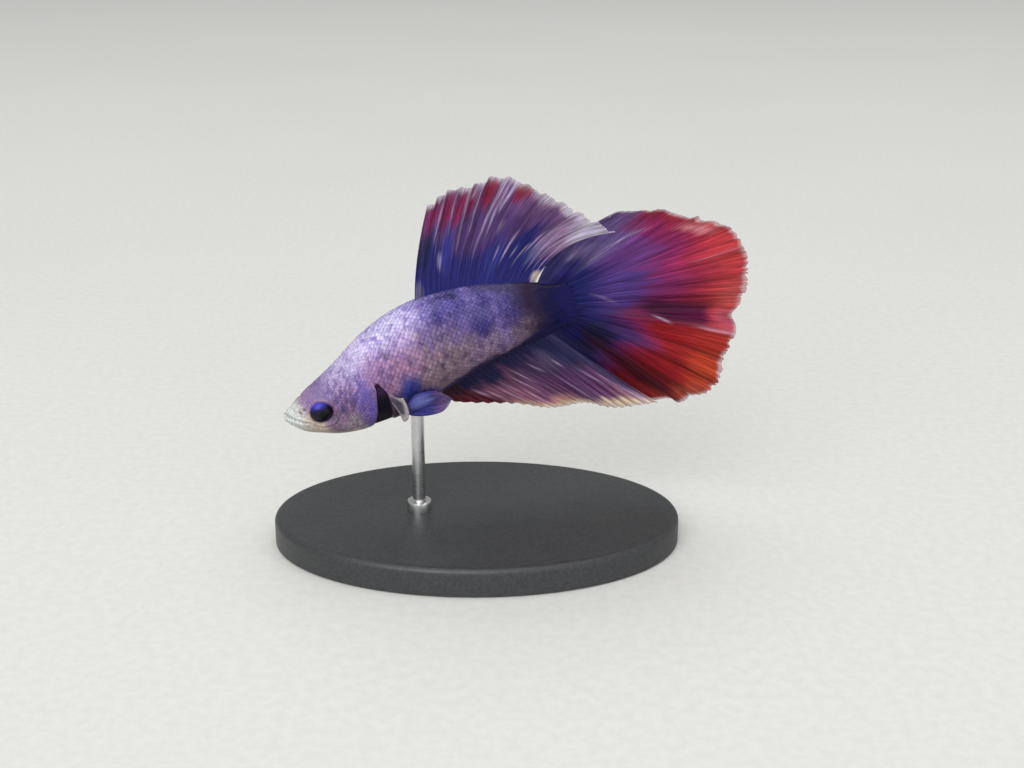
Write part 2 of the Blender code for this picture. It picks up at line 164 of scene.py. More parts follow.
FLANK_UV_FROM, FLANK_UV_SIZE = 0.02, 0.46
EYEBALL = EYE_RADIUS * 0.96, 0.028, EYE_RADIUS * 0.96  # half sizes of the ball
EYE_SUNK = 0.0035  # how far its middle lies inside the solid's

# --- Colours (linear) ---------------------------------------------------------------------------
LIP = (0.52, 0.54, 0.53)
SNOUT = (0.5, 0.41, 0.35)
CHIN = (0.46, 0.4, 0.33)
CHEEK = (0.17, 0.095, 0.2)
DEEP_CHEEK = (0.09, 0.045, 0.13)
CHEEK_PALE = (0.21, 0.155, 0.2)
CHEEK_LOW = (0.3, 0.26, 0.29)
HEAD_TOP = (0.22, 0.145, 0.3)
GILL_BLUE = (0.118, 0.082, 0.32)
NAPE = (0.54, 0.41, 0.65)
NAPE_EDGE = (0.62, 0.6, 0.8)
BACK_BLUE = (0.085, 0.072, 0.42)
PALE_ROSE = (0.36, 0.195, 0.37)
ROSE = (0.37, 0.19, 0.3)
DEEP_ROSE = (0.2, 0.1, 0.21)
MAUVE = (0.24, 0.155, 0.215)
DUSK = (0.2, 0.135, 0.165)
ASH = (0.21, 0.15, 0.25)
VIOLET_BLUE = (0.078, 0.048, 0.19)
PALE_VIOLET = (0.175, 0.125, 0.34)
DEEP_BLUE = (0.03, 0.018, 0.15)
SHOULDER_BLUE = (0.042, 0.046, 0.23)
SPOT = (0.07, 0.045, 0.1)
BROWN = (0.02, 0.009, 0.038)
BELLY_NAVY = (0.011, 0.01, 0.068)
NAVY = (0.004, 0.003, 0.05)
ROOT_NAVY = (0.006, 0.005, 0.082)
BLACK = (0.005, 0.003, 0.014)
GILL_VIOLET = (0.045, 0.014, 0.07)
GILL_DARK = (0.02, 0.012, 0.02)
FLECK = (0.42, 0.38, 0.68)
CROWN_FLECK = (0.08, 0.05, 0.22)
CHEEK_BAND = 0.021  # from one dark band of the cheek to the next
SCALE_SHEEN = (0.42, 0.42, 0.95, 1)
PUPIL, IRIS_DARK, IRIS_BLUE = (0.002, 0.002, 0.003, 1), (0.008, 0.004, 0.012, 1), (0.06, 0.055, 0.54, 1)
IRIS_FIBRE, IRIS_RING = (0.01, 0.008, 0.03, 1), (0.14, 0.1, 0.16, 1)

# --- Room ---------------------------------------------------------------------------------------
FLOOR_SIZE = 12
SKY = (0.8, 0.82, 0.8, 1), 0.55
LAMPS = (  # name, place, size and power
    ("key", (-0.36, -1.14, 1.03), 1.2, 20.7),
    ("top", (0.15, 0.15, 1.45), 1.5, 9.9),
    ("fill", (1.2, -1.05, 0.4), 1.5, 4.5),
)
LIGHT_AIM = Vector((0, 0, 0.027))
CAMERA_LENS = 50, 36, 0.01  # focal length, sensor width and nearest distance seen
CAMERA_PLACE, CAMERA_TILT = (4.892, -179.913, 88.217), math.radians(70)


# --- Shape functions shared with the solids -----------------------------------------------------
def curve(stations, at, column):
    """Smooth curve through one column of the stations, over their first column, read at some places."""
    table = np.array(stations, float)
    x, y = table[:, 0], table[:, column]
    slope = np.gradient(y, x)
    at = np.clip(at, x[0], x[-1])
    i = np.clip(np.searchsorted(x, at, side="right") - 1, 0, len(x) - 2)
    step = x[i + 1] - x[i]
    t = (at - x[i]) / step
    start = (1 + 2 * t) * (1 - t) ** 2 * y[i] + t * (1 - t) ** 2 * step * slope[i]
    end = t * t * (3 - 2 * t) * y[i + 1] - t * t * (1 - t) * step * slope[i + 1]
    return start + end


def ease(value):
    """0 below 0, 1 above 1, and a smooth step between."""
    t = np.clip(value, 0, 1)
    return t * t * (3 - 2 * t)


def back(x):
    return curve(BODY, x, 1)


def belly(x):
    return curve(BODY, x, 2)


def half_width(x, z):
    """Distance from the fish's middle plane to its skin."""
    widest = curve(BODY, x, 3)
    reach = np.where(z > widest, back(x) - widest, widest - belly(x))
    share = np.clip((z - widest) / reach, -1, 1)
    return curve(BODY, x, 4) * (1 - share**2) ** (FULLNESS / 2)


def height_share(x, z):
    """Height on the body, 0 at the belly and 1 at the back."""
    x = np.clip(x, 0, 1)
    return (z - belly(x)) / (back(x) - belly(x))


def bend(points):
    """Straight points, in shares of LENGTH, put along the curved spine, in metres."""
    points = np.asarray(points, float)
    x = np.linspace(-0.2, 2.0, 1101)
    heading = -TAIL_SWING * ease((x - SWING_FROM) / (SWING_TO - SWING_FROM))
    step = x[1] - x[0]
    along = x[0] + np.cumsum(np.cos(heading)) * step - step
    aside = np.cumsum(np.sin(heading)) * step
    turn = np.interp(points[..., 0], x, heading)
    bent = points.copy()
    bent[..., 0] = np.interp(points[..., 0], x, along) - points[..., 1] * np.sin(turn)
    bent[..., 1] = np.interp(points[..., 0], x, aside) + points[..., 1] * np.cos(turn)
    return bent * LENGTH


def outline(x, around):
    """Points of the body's plain outline, at places along it and angles around it."""
    widest = curve(BODY, x, 3)
    reach = np.where(np.sin(around) > 0, back(x) - widest, widest - belly(x))
    across = np.abs(np.cos(around)) ** FULLNESS * np.sign(np.cos(around))
    y = curve(BODY, x, 4) * across
    return np.stack([x + 0 * y, y, widest + reach * np.sin(around)], axis=-1)


TURN = np.array(Euler((ROLL, -PITCH, YAW), "XYZ").to_matrix())


def frame_shift():
    """Where the posed fish stands: its trunk is set over the trunk of the frame."""
    x = np.linspace(HEAD_END + GAP / 2, TRUNK_END - GAP / 2, 60)[:, None]
    around = np.linspace(0, math.tau, 90)[None, :]
    own = bend(outline(x, around)).reshape(-1, 3) @ TURN.T
    low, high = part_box("trunk")
    return np.array(low + high) / 2 - (own.min(0) + own.max(0)) / 2


SHIFT = frame_shift()


def place(points):
    """Straight points, in shares of LENGTH, set in their place on the posed fish, in metres."""
    return bend(points) @ TURN.T + SHIFT


# --- Mesh helpers -------------------------------------------------------------------------------
def grid_faces(rows, columns, closed=False):
    """Quads over a grid of points, which may close round."""
    index = np.arange(rows * columns).reshape(rows, columns)
    if closed:
        index = np.hstack([index, index[:, :1]])
    corners = index[:-1, :-1], index[:-1, 1:], index[1:, 1:], index[1:, :-1]
    return np.stack(corners, axis=-1).reshape(-1, 4)


def slab_faces(rows, columns):
    """Faces of a closed slab: a grid of points, the same again behind it, and the rim between."""
    count = rows * columns
    index = np.arange(count).reshape(rows, columns)
    edge = np.concatenate([index[0, :-1], index[:-1, -1], index[-1, :0:-1], index[:0:-1, 0]])
    after = np.roll(edge, -1)
    rim = np.stack([edge, edge + count, after + count, after], axis=-1)
    front = grid_faces(rows, columns)
    return np.concatenate([front, front[:, ::-1] + count, rim])


def make_piece(name, points, faces, material, fields=None, uv=None):
    """A smooth mesh that rides on the model. fields are named values at its points."""
    mesh = bpy.data.meshes.new(name)
    mesh.from_pydata(points.reshape(-1, 3), [], [list(face) for face in faces])
    for field, values in (fields or {}).items():
        kind, key = "FLOAT", "value"
        values = np.asarray(values, float)
        if values.shape[-1] == 3 and values.ndim > 1:
            kind, key = "FLOAT_COLOR", "color"
            values = np.insert(values.reshape(-1, 3), 3, 1.0, axis=1)
        mesh.attributes.new(field, kind, "POINT").data.foreach_set(key, values.ravel())
    if uv is not None:
        corner_points = np.zeros(len(mesh.loops), int)
        mesh.loops.foreach_get("vertex_index", corner_points)
        layer = mesh.uv_layers.new(name="OFBake")
        layer.data.foreach_set("uv", uv.reshape(-1, 2)[corner_points].ravel())
    mesh.materials.append(material)
    mesh.shade_smooth()
    piece = bpy.data.objects.new(name, mesh)
    bpy.context.scene.collection.objects.link(piece)
    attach(piece, "root")
    return piece


def unit(vectors):
    return vectors / np.maximum(np.linalg.norm(vectors, axis=-1, keepdims=True), 1e-12)


def grid_normals(points):
    """Unit normals of a grid of points, from its neighbours."""
    down, across = (np.gradient(points, axis=axis) for axis in (0, 1))
    return unit(np.cross(down, across))


def surface_normals(points):
    """Outward normals of a grid that closes round its columns."""
    wrapped = np.concatenate([points[:, -1:], points, points[:, :1]], axis=1)
    return -grid_normals(wrapped)[:, 1:-1]


def rough(points, scale, seed, octaves=4):
    """Smooth noise between about -1 and 1 at each point."""
    shape = points.shape[:-1]
    flat = points.reshape(-1, 3) * scale + 17.3 * seed
    found = [noise.fractal(Vector(p), 0.6, 2.0, octaves) for p in flat]
    return np.array(found).reshape(shape)


def patch(x, y, middle, size, softness):
    """1 within an oval, falling to 0 across its soft edge."""
    away = np.hypot((x - middle[0]) / size[0], (y - middle[1]) / size[1])
    return 1 - ease((away - 1 + softness) / (2 * softness))


def past(value, edge, softness):
    """0 before an edge and 1 past it."""
    return ease((value - edge) / softness + 0.5)


def before(value, edge, softness):
    """1 before an edge and 0 past it."""
    return 1 - past(value, edge, softness)


def bell(value, width):
    """1 at 0, falling to both sides over a width."""
    return np.exp(-((value / width) ** 2))


class Paint:
    """Colours at places (x, y) of a surface, laid over one another in soft layers."""

    def __init__(self, x, y, colour):
        self.x, self.y = x, y
        self.tint = np.zeros((*y.shape, 3)) + colour

    def lay(self, colour, mask):
        """Lay a colour where the mask says. A single number lightens or darkens what is there."""
        colour = self.tint * colour if np.isscalar(colour) else np.array(colour)
        self.tint = self.tint + (colour - self.tint) * np.clip(mask, 0, 1)[..., None]
        return self

    def spot(self, middle, size, softness, strength, colour):
        """Lay a colour as one soft spot."""
        return self.lay(colour, strength * patch(self.x, self.y, middle, size, softness))

    def spots(self, *tables):
        """Lay the spots of whole tables, in their order."""
        for table in tables:
            for row in table:
                self.spot(*row)
        return self


# --- Material helper ----------------------------------------------------------------------------
class Graph:
    """A material's nodes. Any input may be a number, a colour or another node's output."""

    def __init__(self, name):
        self.material = bpy.data.materials.new(name)
        self.material.use_nodes = True
        self.tree = self.material.node_tree
        self.tree.nodes.clear()

    def node(self, kind, inputs=(), output=0, **settings):
        made = self.tree.nodes.new(f"ShaderNode{kind}")
        for key, value in settings.items():
            setattr(made, key, value)
        for key, value in dict(inputs).items():
            if isinstance(value, bpy.types.NodeSocket):
                self.tree.links.new(value, made.inputs[key])
            else:
                made.inputs[key].default_value = value
        return made.outputs[output] if made.outputs else made

    def field(self, name, output="Fac"):
        return self.node("Attribute", attribute_name=name, output=output)

    def math(self, operation, a, b):
        return self.node("Math", {0: a, 1: b}, operation=operation)

    def times(self, a, b):
        return self.math("MULTIPLY", a, b)

    def plus(self, a, b):
        return self.math("ADD", a, b)

    def scaled(self, vector, amount):
        return self.node("VectorMath", {0: vector, "Scale": amount}, operation="SCALE")

    def colour_mix(self, amount, a, b):
        return self.node("Mix", {"Factor": amount, 6: a, 7: b}, output=2, data_type="RGBA")

    def noise(self, vector, scale, detail=3.0, roughness=0.55):
        inputs = {"Vector": vector, "Scale": scale, "Detail": detail, "Roughness": roughness}
        return self.node("TexNoise", inputs, output="Fac")

    def span(self, value, low, high, to_low=0.0, to_high=1.0):
        """The value, spread smoothly from one range to another."""
        inputs = {"Value": value, "From Min": low, "From Max": high, "To Min": to_low, "To Max": to_high}
        return self.node("MapRange", inputs, interpolation_type="SMOOTHSTEP")

    def spread(self, noise, to_low, to_high):
        """A noise's middle range, spread over another."""
        return self.span(noise, 0.3, 0.7, to_low, to_high)

    def bump(self, height, distance, strength):
        return self.node("Bump", {"Height": height, "Distance": distance, "Strength": strength})

    def principled(self, **inputs):
        return self.node("BsdfPrincipled", {key.replace("_", " "): value for key, value in inputs.items()})

    def finish(self, shader=None, **inputs):
        """The finished material, with this shader or a principled one with these inputs."""
        self.node("OutputMaterial", {"Surface": shader or self.principled(**inputs)})
        return self.material


# --- The skin's relief --------------------------------------------------------------------------
def along_mouth(x, z):
    """Place along the mouth line, 0 at the front and 1 at the corner, and height above the line."""
    run, drop = MOUTH_CORNER, MOUTH_CORNER_HEIGHT - MOUTH_FRONT_HEIGHT
    length = math.hypot(run, drop)
    z = z - MOUTH_FRONT_HEIGHT
    return (x * run + z * drop) / length**2, (z * run - x * drop) / length


def gill_edge(z):
    """Where the gill cover ends at each height."""
    return curve(GILL_EDGE, z, 1)


def gill_gap(x, z):
    """1 in the open gap behind the gill cover, which narrows upwards."""
    rear = SHOULDER + (SHOULDER_TOP - SHOULDER) * ease((z + 0.03) / 0.06)
    within = past(x, gill_edge(z) + 0.002, 0.004) * before(x, rear, 0.007)
    return within * ease((0.04 - z) / 0.03) * ease((z + 0.172) / 0.02)


def relief(x, y, z):
    """How far the skin stands out from the body's plain outline."""
    along, above = along_mouth(x, z)
    lips = 1 - ease((along - 0.8) / 0.22)
    out = lips * sum(bulge * bell(above - height, width) for height, width, bulge in MOUTH_RELIEF)
    out -= 0.0022 * patch(x, z, (0.08, -0.062), (0.006, 0.024), 0.9)  # fold behind the mouth
    for nostril in NOSTRILS:
        away = np.hypot(x - nostril[0], z - nostril[1])
        out += 0.002 * bell(away - 0.0085, 0.003) - 0.005 * bell(away, 0.0045)

    eye = np.hypot(x - EYE_PLACE, z - EYE_HEIGHT) / EYE_RADIUS
    out -= 0.024 * (1 - ease((eye - 0.72) / 0.2))
    for ring, width, bulge in EYE_RINGS:
        out += bulge * bell(eye - ring, width)

    out += 0.0045 * patch(x, z, (0.172, -0.07), (0.05, 0.055), 0.8)  # cheek
    cheek_edge = np.hypot((x - 0.158) / 0.058, (z + 0.05) / 0.078)
    out -= 0.003 * bell(cheek_edge - 1, 0.045) * ease((x - 0.165) / 0.03)

    cover = ease((x - 0.195) / 0.09) * (x < gill_edge(z) + 0.004)
    out += 0.0095 * cover * ease((z + 0.16) / 0.04) * ease((0.06 - z) / 0.05)
    lamella = 0.5 + 0.5 * np.sin(math.tau * (x - 0.12 * z) / GILL_LAMELLA)
    out -= (GILL_GAP_DEPTH - 0.0028 * lamella) * gill_gap(x, z)
    out += 0.003 * patch(x, z, (0.336, -0.07), (0.018, 0.075), 0.8)  # shoulder girdle
    under_covers = patch(x, z, (0.19, -0.145), (0.075, 0.035), 0.5)
    for fold in range(THROAT_FOLDS):
        line = -0.128 - 0.011 * fold - 0.1 * (x - 0.2)
        out -= 0.0016 * bell(z - line, 0.0022) * under_covers

    ridge = bell(y, 0.011)
    for (start, end), this_edge in ((DORSAL_BASE, z > 0), (ANAL_BASE, z < 0)):
        out += 0.0095 * ridge * this_edge * ease((x - start + 0.02) / 0.03) * ease((end + 0.03 - x) / 0.05)
    return out + 0.005 * patch(x, z, (0.5, -0.16), (0.018, 0.015), 0.8) * ridge  # vent


def skin_places():
    """Places of the skin's rings along the body, and how much each section is drawn in at the snout."""
    turn = np.linspace(0.06, math.pi / 2, RINGS["cap"], endpoint=False)
    cap = SNOUT_TIP + SNOUT_CAP * (1 - np.cos(turn))
    cap_end = SNOUT_TIP + SNOUT_CAP
    head = np.linspace(cap_end, FINE_RINGS_END, RINGS["head"], endpoint=False)
    trunk = np.linspace(FINE_RINGS_END, 1, RINGS["trunk"], endpoint=False)
    sheath = 1 + SHEATH_LENGTH * np.sin(np.linspace(0, math.pi / 2 - 0.05, RINGS["sheath"]))
    places = np.concatenate([cap, head, trunk, sheath])
    drawn_in = np.ones(len(places))
    drawn_in[: len(cap)] = np.sin(turn)
    return places, drawn_in


def skin_surface():
    """The skin as a grid of straight points: on the plain outline, and with the relief."""
    places, drawn_in = skin_places()
    x = places[:, None]
    around = np.linspace(0, math.tau, SKIN_COLUMNS, endpoint=False)[None, :]
    points = outline(np.clip(x, 0, 1), around)
    points[..., 0] = x
    middle = curve(BODY, np.clip(x, 0, 1), 3)
    points[..., 1] *= drawn_in[:, None]
    points[..., 2] = middle + (points[..., 2] - middle) * drawn_in[:, None]
    past_root = np.clip((x - 1) / SHEATH_LENGTH, 0, 1)
    flat = SHEATH_EDGE / curve(BODY, 1.0, 4)
    points[..., 1] *= 1 - (1 - flat) * ease(past_root * 1.1)
    root_middle = (back(1.0) + belly(1.0)) / 2
    points[..., 2] = root_middle + (points[..., 2] - root_middle) * (1 - past_root**4) ** 0.5
    height = relief(points[..., 0], points[..., 1], points[..., 2]) - COAT
    height = height * ease(drawn_in[:, None] * 1.5)
    shaped = points + surface_normals(points) * height[..., None]
    flap = gill_gap(x + GILL_OVERHANG, points[..., 2]) * (x < gill_edge(points[..., 2]) + 0.002)
    shaped[..., 0] += GILL_OVERHANG * flap
    return points, shaped


# --- Markings of the skin and the scales --------------------------------------------------------
def alike(colour, softness, *rows):
    """Markings of one colour and softness, from the place, half sizes and strength of each."""
    return tuple(((x, y), (wide, high), softness, strength, colour) for x, y, wide, high, strength in rows)


# Place along the body, height share from the belly to the back, half sizes, softness, strength, colour
FLANK_TINTS = (
    ((0.64, 0.36), (0.26, 0.24), 0.5, 1, DUSK), ((0.64, 0.2), (0.045, 0.16), 0.7, 0.7, MAUVE),
    ((0.76, 0.38), (0.12, 0.22), 0.7, 0.9, ASH), ((0.73, 0.84), (0.22, 0.3), 0.5, 1, VIOLET_BLUE),
    ((0.5, 0.66), (0.09, 0.2), 0.7, 0.7, MAUVE), ((0.38, 0.68), (0.09, 0.26), 0.6, 1, ROSE),
    ((0.325, 0.6), (0.03, 0.18), 0.7, 0.9, DEEP_ROSE), ((0.31, 0.84), (0.06, 0.14), 0.8, 0.8, PALE_ROSE),
    ((0.39, 1), (0.15, 0.14), 0.5, 1, NAPE), ((0.44, 0.89), (0.04, 0.13), 0.7, 0.8, NAPE),
    ((0.53, 1), (0.055, 0.12), 0.7, 0.6, NAPE), ((0.4, 0.33), (0.045, 0.2), 0.6, 1, SHOULDER_BLUE),
    ((0.44, 0.12), (0.055, 0.16), 0.6, 1, SHOULDER_BLUE), ((0.4, 1), (0.11, 0.08), 0.7, 0.6, NAPE_EDGE),
    ((0.6, 0.95), (0.11, 0.08), 0.6, 0.5, BACK_BLUE),
)
LILAC_STREAKS = alike(
    PALE_VIOLET, 0.8, (0.53, 0.85, 0.014, 0.16, 0.6), (0.65, 0.74, 0.014, 0.14, 0.6),
    (0.7, 0.95, 0.02, 0.08, 0.9), (0.775, 0.72, 0.01, 0.24, 0.8), (0.61, 0.62, 0.02, 0.07, 0.5),
    (0.8, 0.35, 0.012, 0.26, 0.5),
)
BLUE_PATCHES = alike(
    DEEP_BLUE, 0.7, (0.568, 0.88, 0.02, 0.08, 0.9), (0.64, 0.93, 0.035, 0.06, 0.7),
    (0.64, 0.82, 0.022, 0.05, 0.6), (0.708, 0.62, 0.032, 0.13, 1), (0.745, 0.86, 0.03, 0.09, 0.8),
    (0.83, 0.72, 0.032, 0.22, 0.9), (0.8, 0.52, 0.022, 0.06, 0.6),
) + alike(DEEP_BLUE, 0.8, (0.765, 0.2, 0.01, 0.16, 0.6), (0.4, 0.9, 0.012, 0.05, 0.4))
DARK_SPOTS = tuple(
    (middle, size, 0.8, 0.8, SPOT)
    for middle, size in (
        ((0.435, 0.64), (0.009, 0.04)), ((0.53, 0.4), (0.01, 0.035)), ((0.528, 0.26), (0.01, 0.04)),
        ((0.545, 0.48), (0.012, 0.03)), ((0.56, 0.68), (0.014, 0.035)), ((0.622, 0.4), (0.014, 0.035)),
        ((0.68, 0.43), (0.01, 0.03)), ((0.59, 0.57), (0.009, 0.028)), ((0.49, 0.75), (0.011, 0.04)),
        ((0.5, 0.55), (0.007, 0.026)), ((0.462, 0.5), (0.007, 0.026)), ((0.64, 0.28), (0.008, 0.026)),
        ((0.735, 0.36), (0.009, 0.028)), ((0.575, 0.33), (0.007, 0.024)), ((0.36, 0.84), (0.008, 0.03)),
        ((0.335, 0.72), (0.006, 0.03)),
    )
)
HEAD_TINTS = (
    ((0.19, 0.52), (0.085, 0.42), 0.5, 1, CHEEK), ((0.155, 0.38), (0.03, 0.24), 0.7, 0.8, CHEEK_PALE),
    ((0.198, 0.28), (0.035, 0.18), 0.7, 1, CHEEK_LOW), ((0.19, 0.92), (0.1, 0.12), 0.7, 1, HEAD_TOP),
    ((0.185, 0.66), (0.045, 0.17), 0.8, 0.7, DEEP_CHEEK),
    ((0.255, 0.82), (0.035, 0.16), 0.8, 0.9, PALE_ROSE), ((0.28, 1), (0.08, 0.1), 0.7, 0.8, NAPE),
    ((0.28, 1), (0.1, 0.07), 0.7, 0.6, NAPE_EDGE), ((0.25, 0.52), (0.032, 0.36), 0.6, 1, GILL_BLUE),
)


def body_tint(points):
    """The fish's markings at straight points on its skin."""
    x, y, z = (points[..., i] for i in range(3))
    straight_x, t = x, height_share(x, z)
    lower = before(t, 0.6, 0.3)
    wander = rough(points, 14, 1)
    steep = np.stack([2.1 * (x - 0.3 * z), y, 0.6 * z], -1)  # flecks slant as the gill cover's edge does
    flecks, pale_flecks = rough(steep, 60, 7, 3), rough(steep, 48, 9, 3)
    x = x + 0.012 * wander + 0.005 * flecks
    t = np.clip(t + 0.05 * rough(points, 14, 2), 0, 1)
    paint = Paint(x, t, MAUVE).spots(FLANK_TINTS, LILAC_STREAKS, BLUE_PATCHES, DARK_SPOTS)
    lay, spot = paint.lay, paint.spot
    on_body = past(x, 0.3, 0.04)
    lay(paint.tint * FLECK, on_body * past(flecks, 0.22, 0.25) * (0.9 - 0.3 * lower))
    lay(PALE_VIOLET, 0.3 * on_body * past(pale_flecks, 0.2, 0.3) * (1 - lower))
    lay(1.45, 0.6 * on_body * past(pale_flecks, 0.15, 0.4) * lower)
    # Head
    lay(Paint(x, t, paint.tint).spots(HEAD_TINTS).tint, before(x, 0.305, 0.03))
    bands = 0.5 + 0.5 * np.sin(math.tau * (x - 0.05 * t) / CHEEK_BAND + 2.2 * wander)
    on_cheek = patch(x, t, (0.19, 0.52), (0.06, 0.42), 0.4)
    lay(0.55, on_cheek * bands * past(flecks, -0.1, 0.6))
    lay(PALE_ROSE, 0.55 * on_cheek * past(pale_flecks, 0.15, 0.35))
    spot((0.2, 0.84), (0.09, 0.2), 0.5, 0.65 * past(flecks, 0.12, 0.3), CROWN_FLECK)
    spot((0.23, 0.92), (0.1, 0.14), 0.5, 0.4 * past(pale_flecks, 0.1, 0.3), NAPE)
    lay(CHIN, before(t, 0.13, 0.14) * before(x, 0.25, 0.03))
    lay(SNOUT, before(x + 0.085 * t, 0.132, 0.05))
    spot((0.09, 0.92), (0.042, 0.24), 0.7, 0.75, HEAD_TOP)
    lay(LIP, before(x, 0.045, 0.04))
    # Gill opening: the dark gill membrane, with painted shade in the opening and below it to the keel, violet
    # higher up
    lay(GILL_DARK, 0.92 * patch(straight_x, t, (0.344, 0.08), (0.026, 0.27), 0.6))
    inside = Paint(x, t, BLACK).lay(GILL_VIOLET, past(z, -0.025, 0.05))
    lay(inside.tint, gill_gap(straight_x, z) ** 0.5)
    spot((0.285, 0.04), (0.04, 0.13), 0.4, 1, GILL_DARK)
    # Painted shade in the nostril pits
    for nostril in NOSTRILS:
        lay(GILL_DARK, 0.8 * bell(np.hypot(straight_x - nostril[0], z - nostril[1]), 0.0038))
    # Rear and fin bases
    lay(BROWN, 0.35 * past(x, 0.815, 0.06))
    lay(BROWN, 0.92 * past(x + 0.06 * (t - 0.5) + 0.01 * wander, 0.868, 0.08))
    lay(NAVY, past(x + 0.02 * wander, 0.925, 0.08))
    lay(ROOT_NAVY, past(x, 0.99, 0.06))
    lower_edge = 0.15 - 0.09 * patch(x, t, (0.8, 0.1), (0.05, 0.4), 0.8)
    lay(BELLY_NAVY, 0.93 * past(x, 0.505, 0.03) * before(t, lower_edge, 0.09))
    return lay(BROWN, 0.7 * past(t, 0.975, 0.03) * past(x, 0.56, 0.06)).tint


def skin_material():
    """Fish skin: the markings, broken by fine streaks and grain, under a thin wet gloss."""
    g = Graph("betta_skin")
    where = g.field("straight", "Vector")
    slanted = g.node("Mapping", {"Vector": where, "Scale": (260, 170, 110), "Rotation": (0, 0.9, 0)})
    streak, grain = g.noise(slanted, 1.0), g.noise(where, 900.0, 2.0)
    shade = g.plus(g.span(streak, 0.35, 0.68, 0.72, 1.22), g.spread(grain, -0.08, 0.08))
    return g.finish(
        Base_Color=g.scaled(g.field("tint", "Color"), shade), Roughness=g.spread(grain, 0.36, 0.5),
        Specular_IOR_Level=0.25, Coat_Weight=0.1, Coat_Roughness=0.18,
        Normal=g.bump(g.plus(g.times(streak, 0.6), g.times(grain, 0.4)), 0.00005, 0.6),
    )


def scale_material():
    """Scales: the skin's markings, one shade to a scale, darker at its edge, some with a painted blue sheen
    and a little metal gloss.
    """
    g = Graph("betta_scales")
    along, shine = g.field("along"), g.field("shine")
    fine = g.noise(g.field("straight", "Vector"), 1200.0, 2.0)
    sides = g.span(g.field("across"), 0.75, 1.0, 0.0, 0.6)
    edge = g.math("MAXIMUM", g.span(along, 0.66, 0.97), sides)
    light = g.plus(g.span(g.field("shade"), 0.0, 1.0, 0.84, 1.18), g.spread(fine, -0.09, 0.09))
    light = g.times(light, g.span(edge, 0.0, 1.0, 1.08, 0.76))
    tint = g.scaled(g.field("tint", "Color"), light)
    rings = {"Vector": g.node("CombineXYZ", {0: along}), "Scale": 5.5, "Distortion": 1.2, "Detail": 1.0}
    growth = g.node("TexWave", rings, output="Fac")
    return g.finish(
        # Painted sheen: the base colour of the upper scales is mixed towards blue by their shine
        Base_Color=g.colour_mix(g.times(shine, 0.16), tint, SCALE_SHEEN), Metallic=g.times(shine, 0.15),
        Roughness=g.spread(fine, 0.32, 0.46), Specular_IOR_Level=0.14, Coat_Weight=0.06,
        Coat_Roughness=0.15, Normal=g.bump(g.plus(growth, g.times(fine, 0.5)), 0.000018, 0.7),
    )


def add_skin(plain, shaped):
    """One closed skin over the whole body, which stands for all the solids of flesh."""
    rows, columns = plain.shape[:2]
    posed = place(shaped)
    faces = [*grid_faces(rows, columns, closed=True)]
    last = rows * columns
    for i in range(columns):
        j = (i + 1) % columns
        faces += [(last, j, i), (last + 1, last - columns + i, last - columns + j)]

    def with_ends(grid):
        return np.concatenate([grid.reshape(-1, 3), grid[0].mean(0)[None], grid[-1].mean(0)[None]])

    straight = with_ends(plain)
    u = np.linspace(UV_FROM, UV_TO, rows)[:, None] + np.zeros((1, columns))
    v = FLANK_UV_SIZE * np.abs(np.linspace(-1, 1, columns))[None, :] + FLANK_UV_FROM
    v = np.where(np.arange(columns) < columns / 2, v, v + 0.5) + 0 * u  # each flank has half the unwrap
    uv = np.concatenate([np.stack([u, v], -1).reshape(-1, 2), ((0.01, 0.25), (0.99, 0.25))])
    fields = {"straight": straight, "tint": body_tint(straight)}
    skin = make_piece("skin", with_ends(posed), faces, skin_material(), fields, uv)
    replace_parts(skin, "head", "lower_jaw", "gill_cover_left", "gill_cover_right", "trunk", "tail_stalk")


def read_grid(grid, row, column):
    """Values of a grid, closed round its columns, read between its points."""
    columns = grid.shape[1]
    row = np.clip(row, 0, grid.shape[0] - 1.001)
    i, j = np.floor(row).astype(int), np.floor(column).astype(int)
    down, across = (row - i)[..., None], (column - j)[..., None]
    left, right = j % columns, (j + 1) % columns
    upper = grid[i, left] * (1 - across) + grid[i, right] * across
    lower = grid[i + 1, left] * (1 - across) + grid[i + 1, right] * across
    return upper * (1 - down) + lower * down


def scale_places():
    """Each scale: its place along the body, its angle round it, the step between rings and between scales."""
    found = []
    x, ring = SCALES_FROM, 0
    while x < SCALES_TO:
        count = SCALES_ROUND_HEAD if x < HEAD_SCALES_TO else SCALES_ROUND_BODY
        reach = min(x, 1.0)
        step = SCALE_STEP[0] + SCALE_STEP[1] * float(back(reach) - belly(reach))
        for i in range(count):
            found.append((x, math.tau * (i + 0.5 * (ring % 2)) / count, step, math.tau / count))
        x += step
        ring += 1
    return np.array(found)


def bare(x, z):
    """Where the skin has no scales: round the eyes, on the snout and chin, and in the gill opening."""
    eye = np.hypot(x - EYE_PLACE, z - EYE_HEIGHT) < 1.3 * EYE_RADIUS
    snout = x < 0.115 - 0.8 * z.clip(-0.1, 0.02)
    throat = (z < -0.13) & (x < 0.3)
    near_gap = np.maximum.reduce([gill_gap(x + shift, z) for shift in (-0.014, -0.007, 0, 0.007)]) > 0.03
    return eye | snout | throat | near_gap


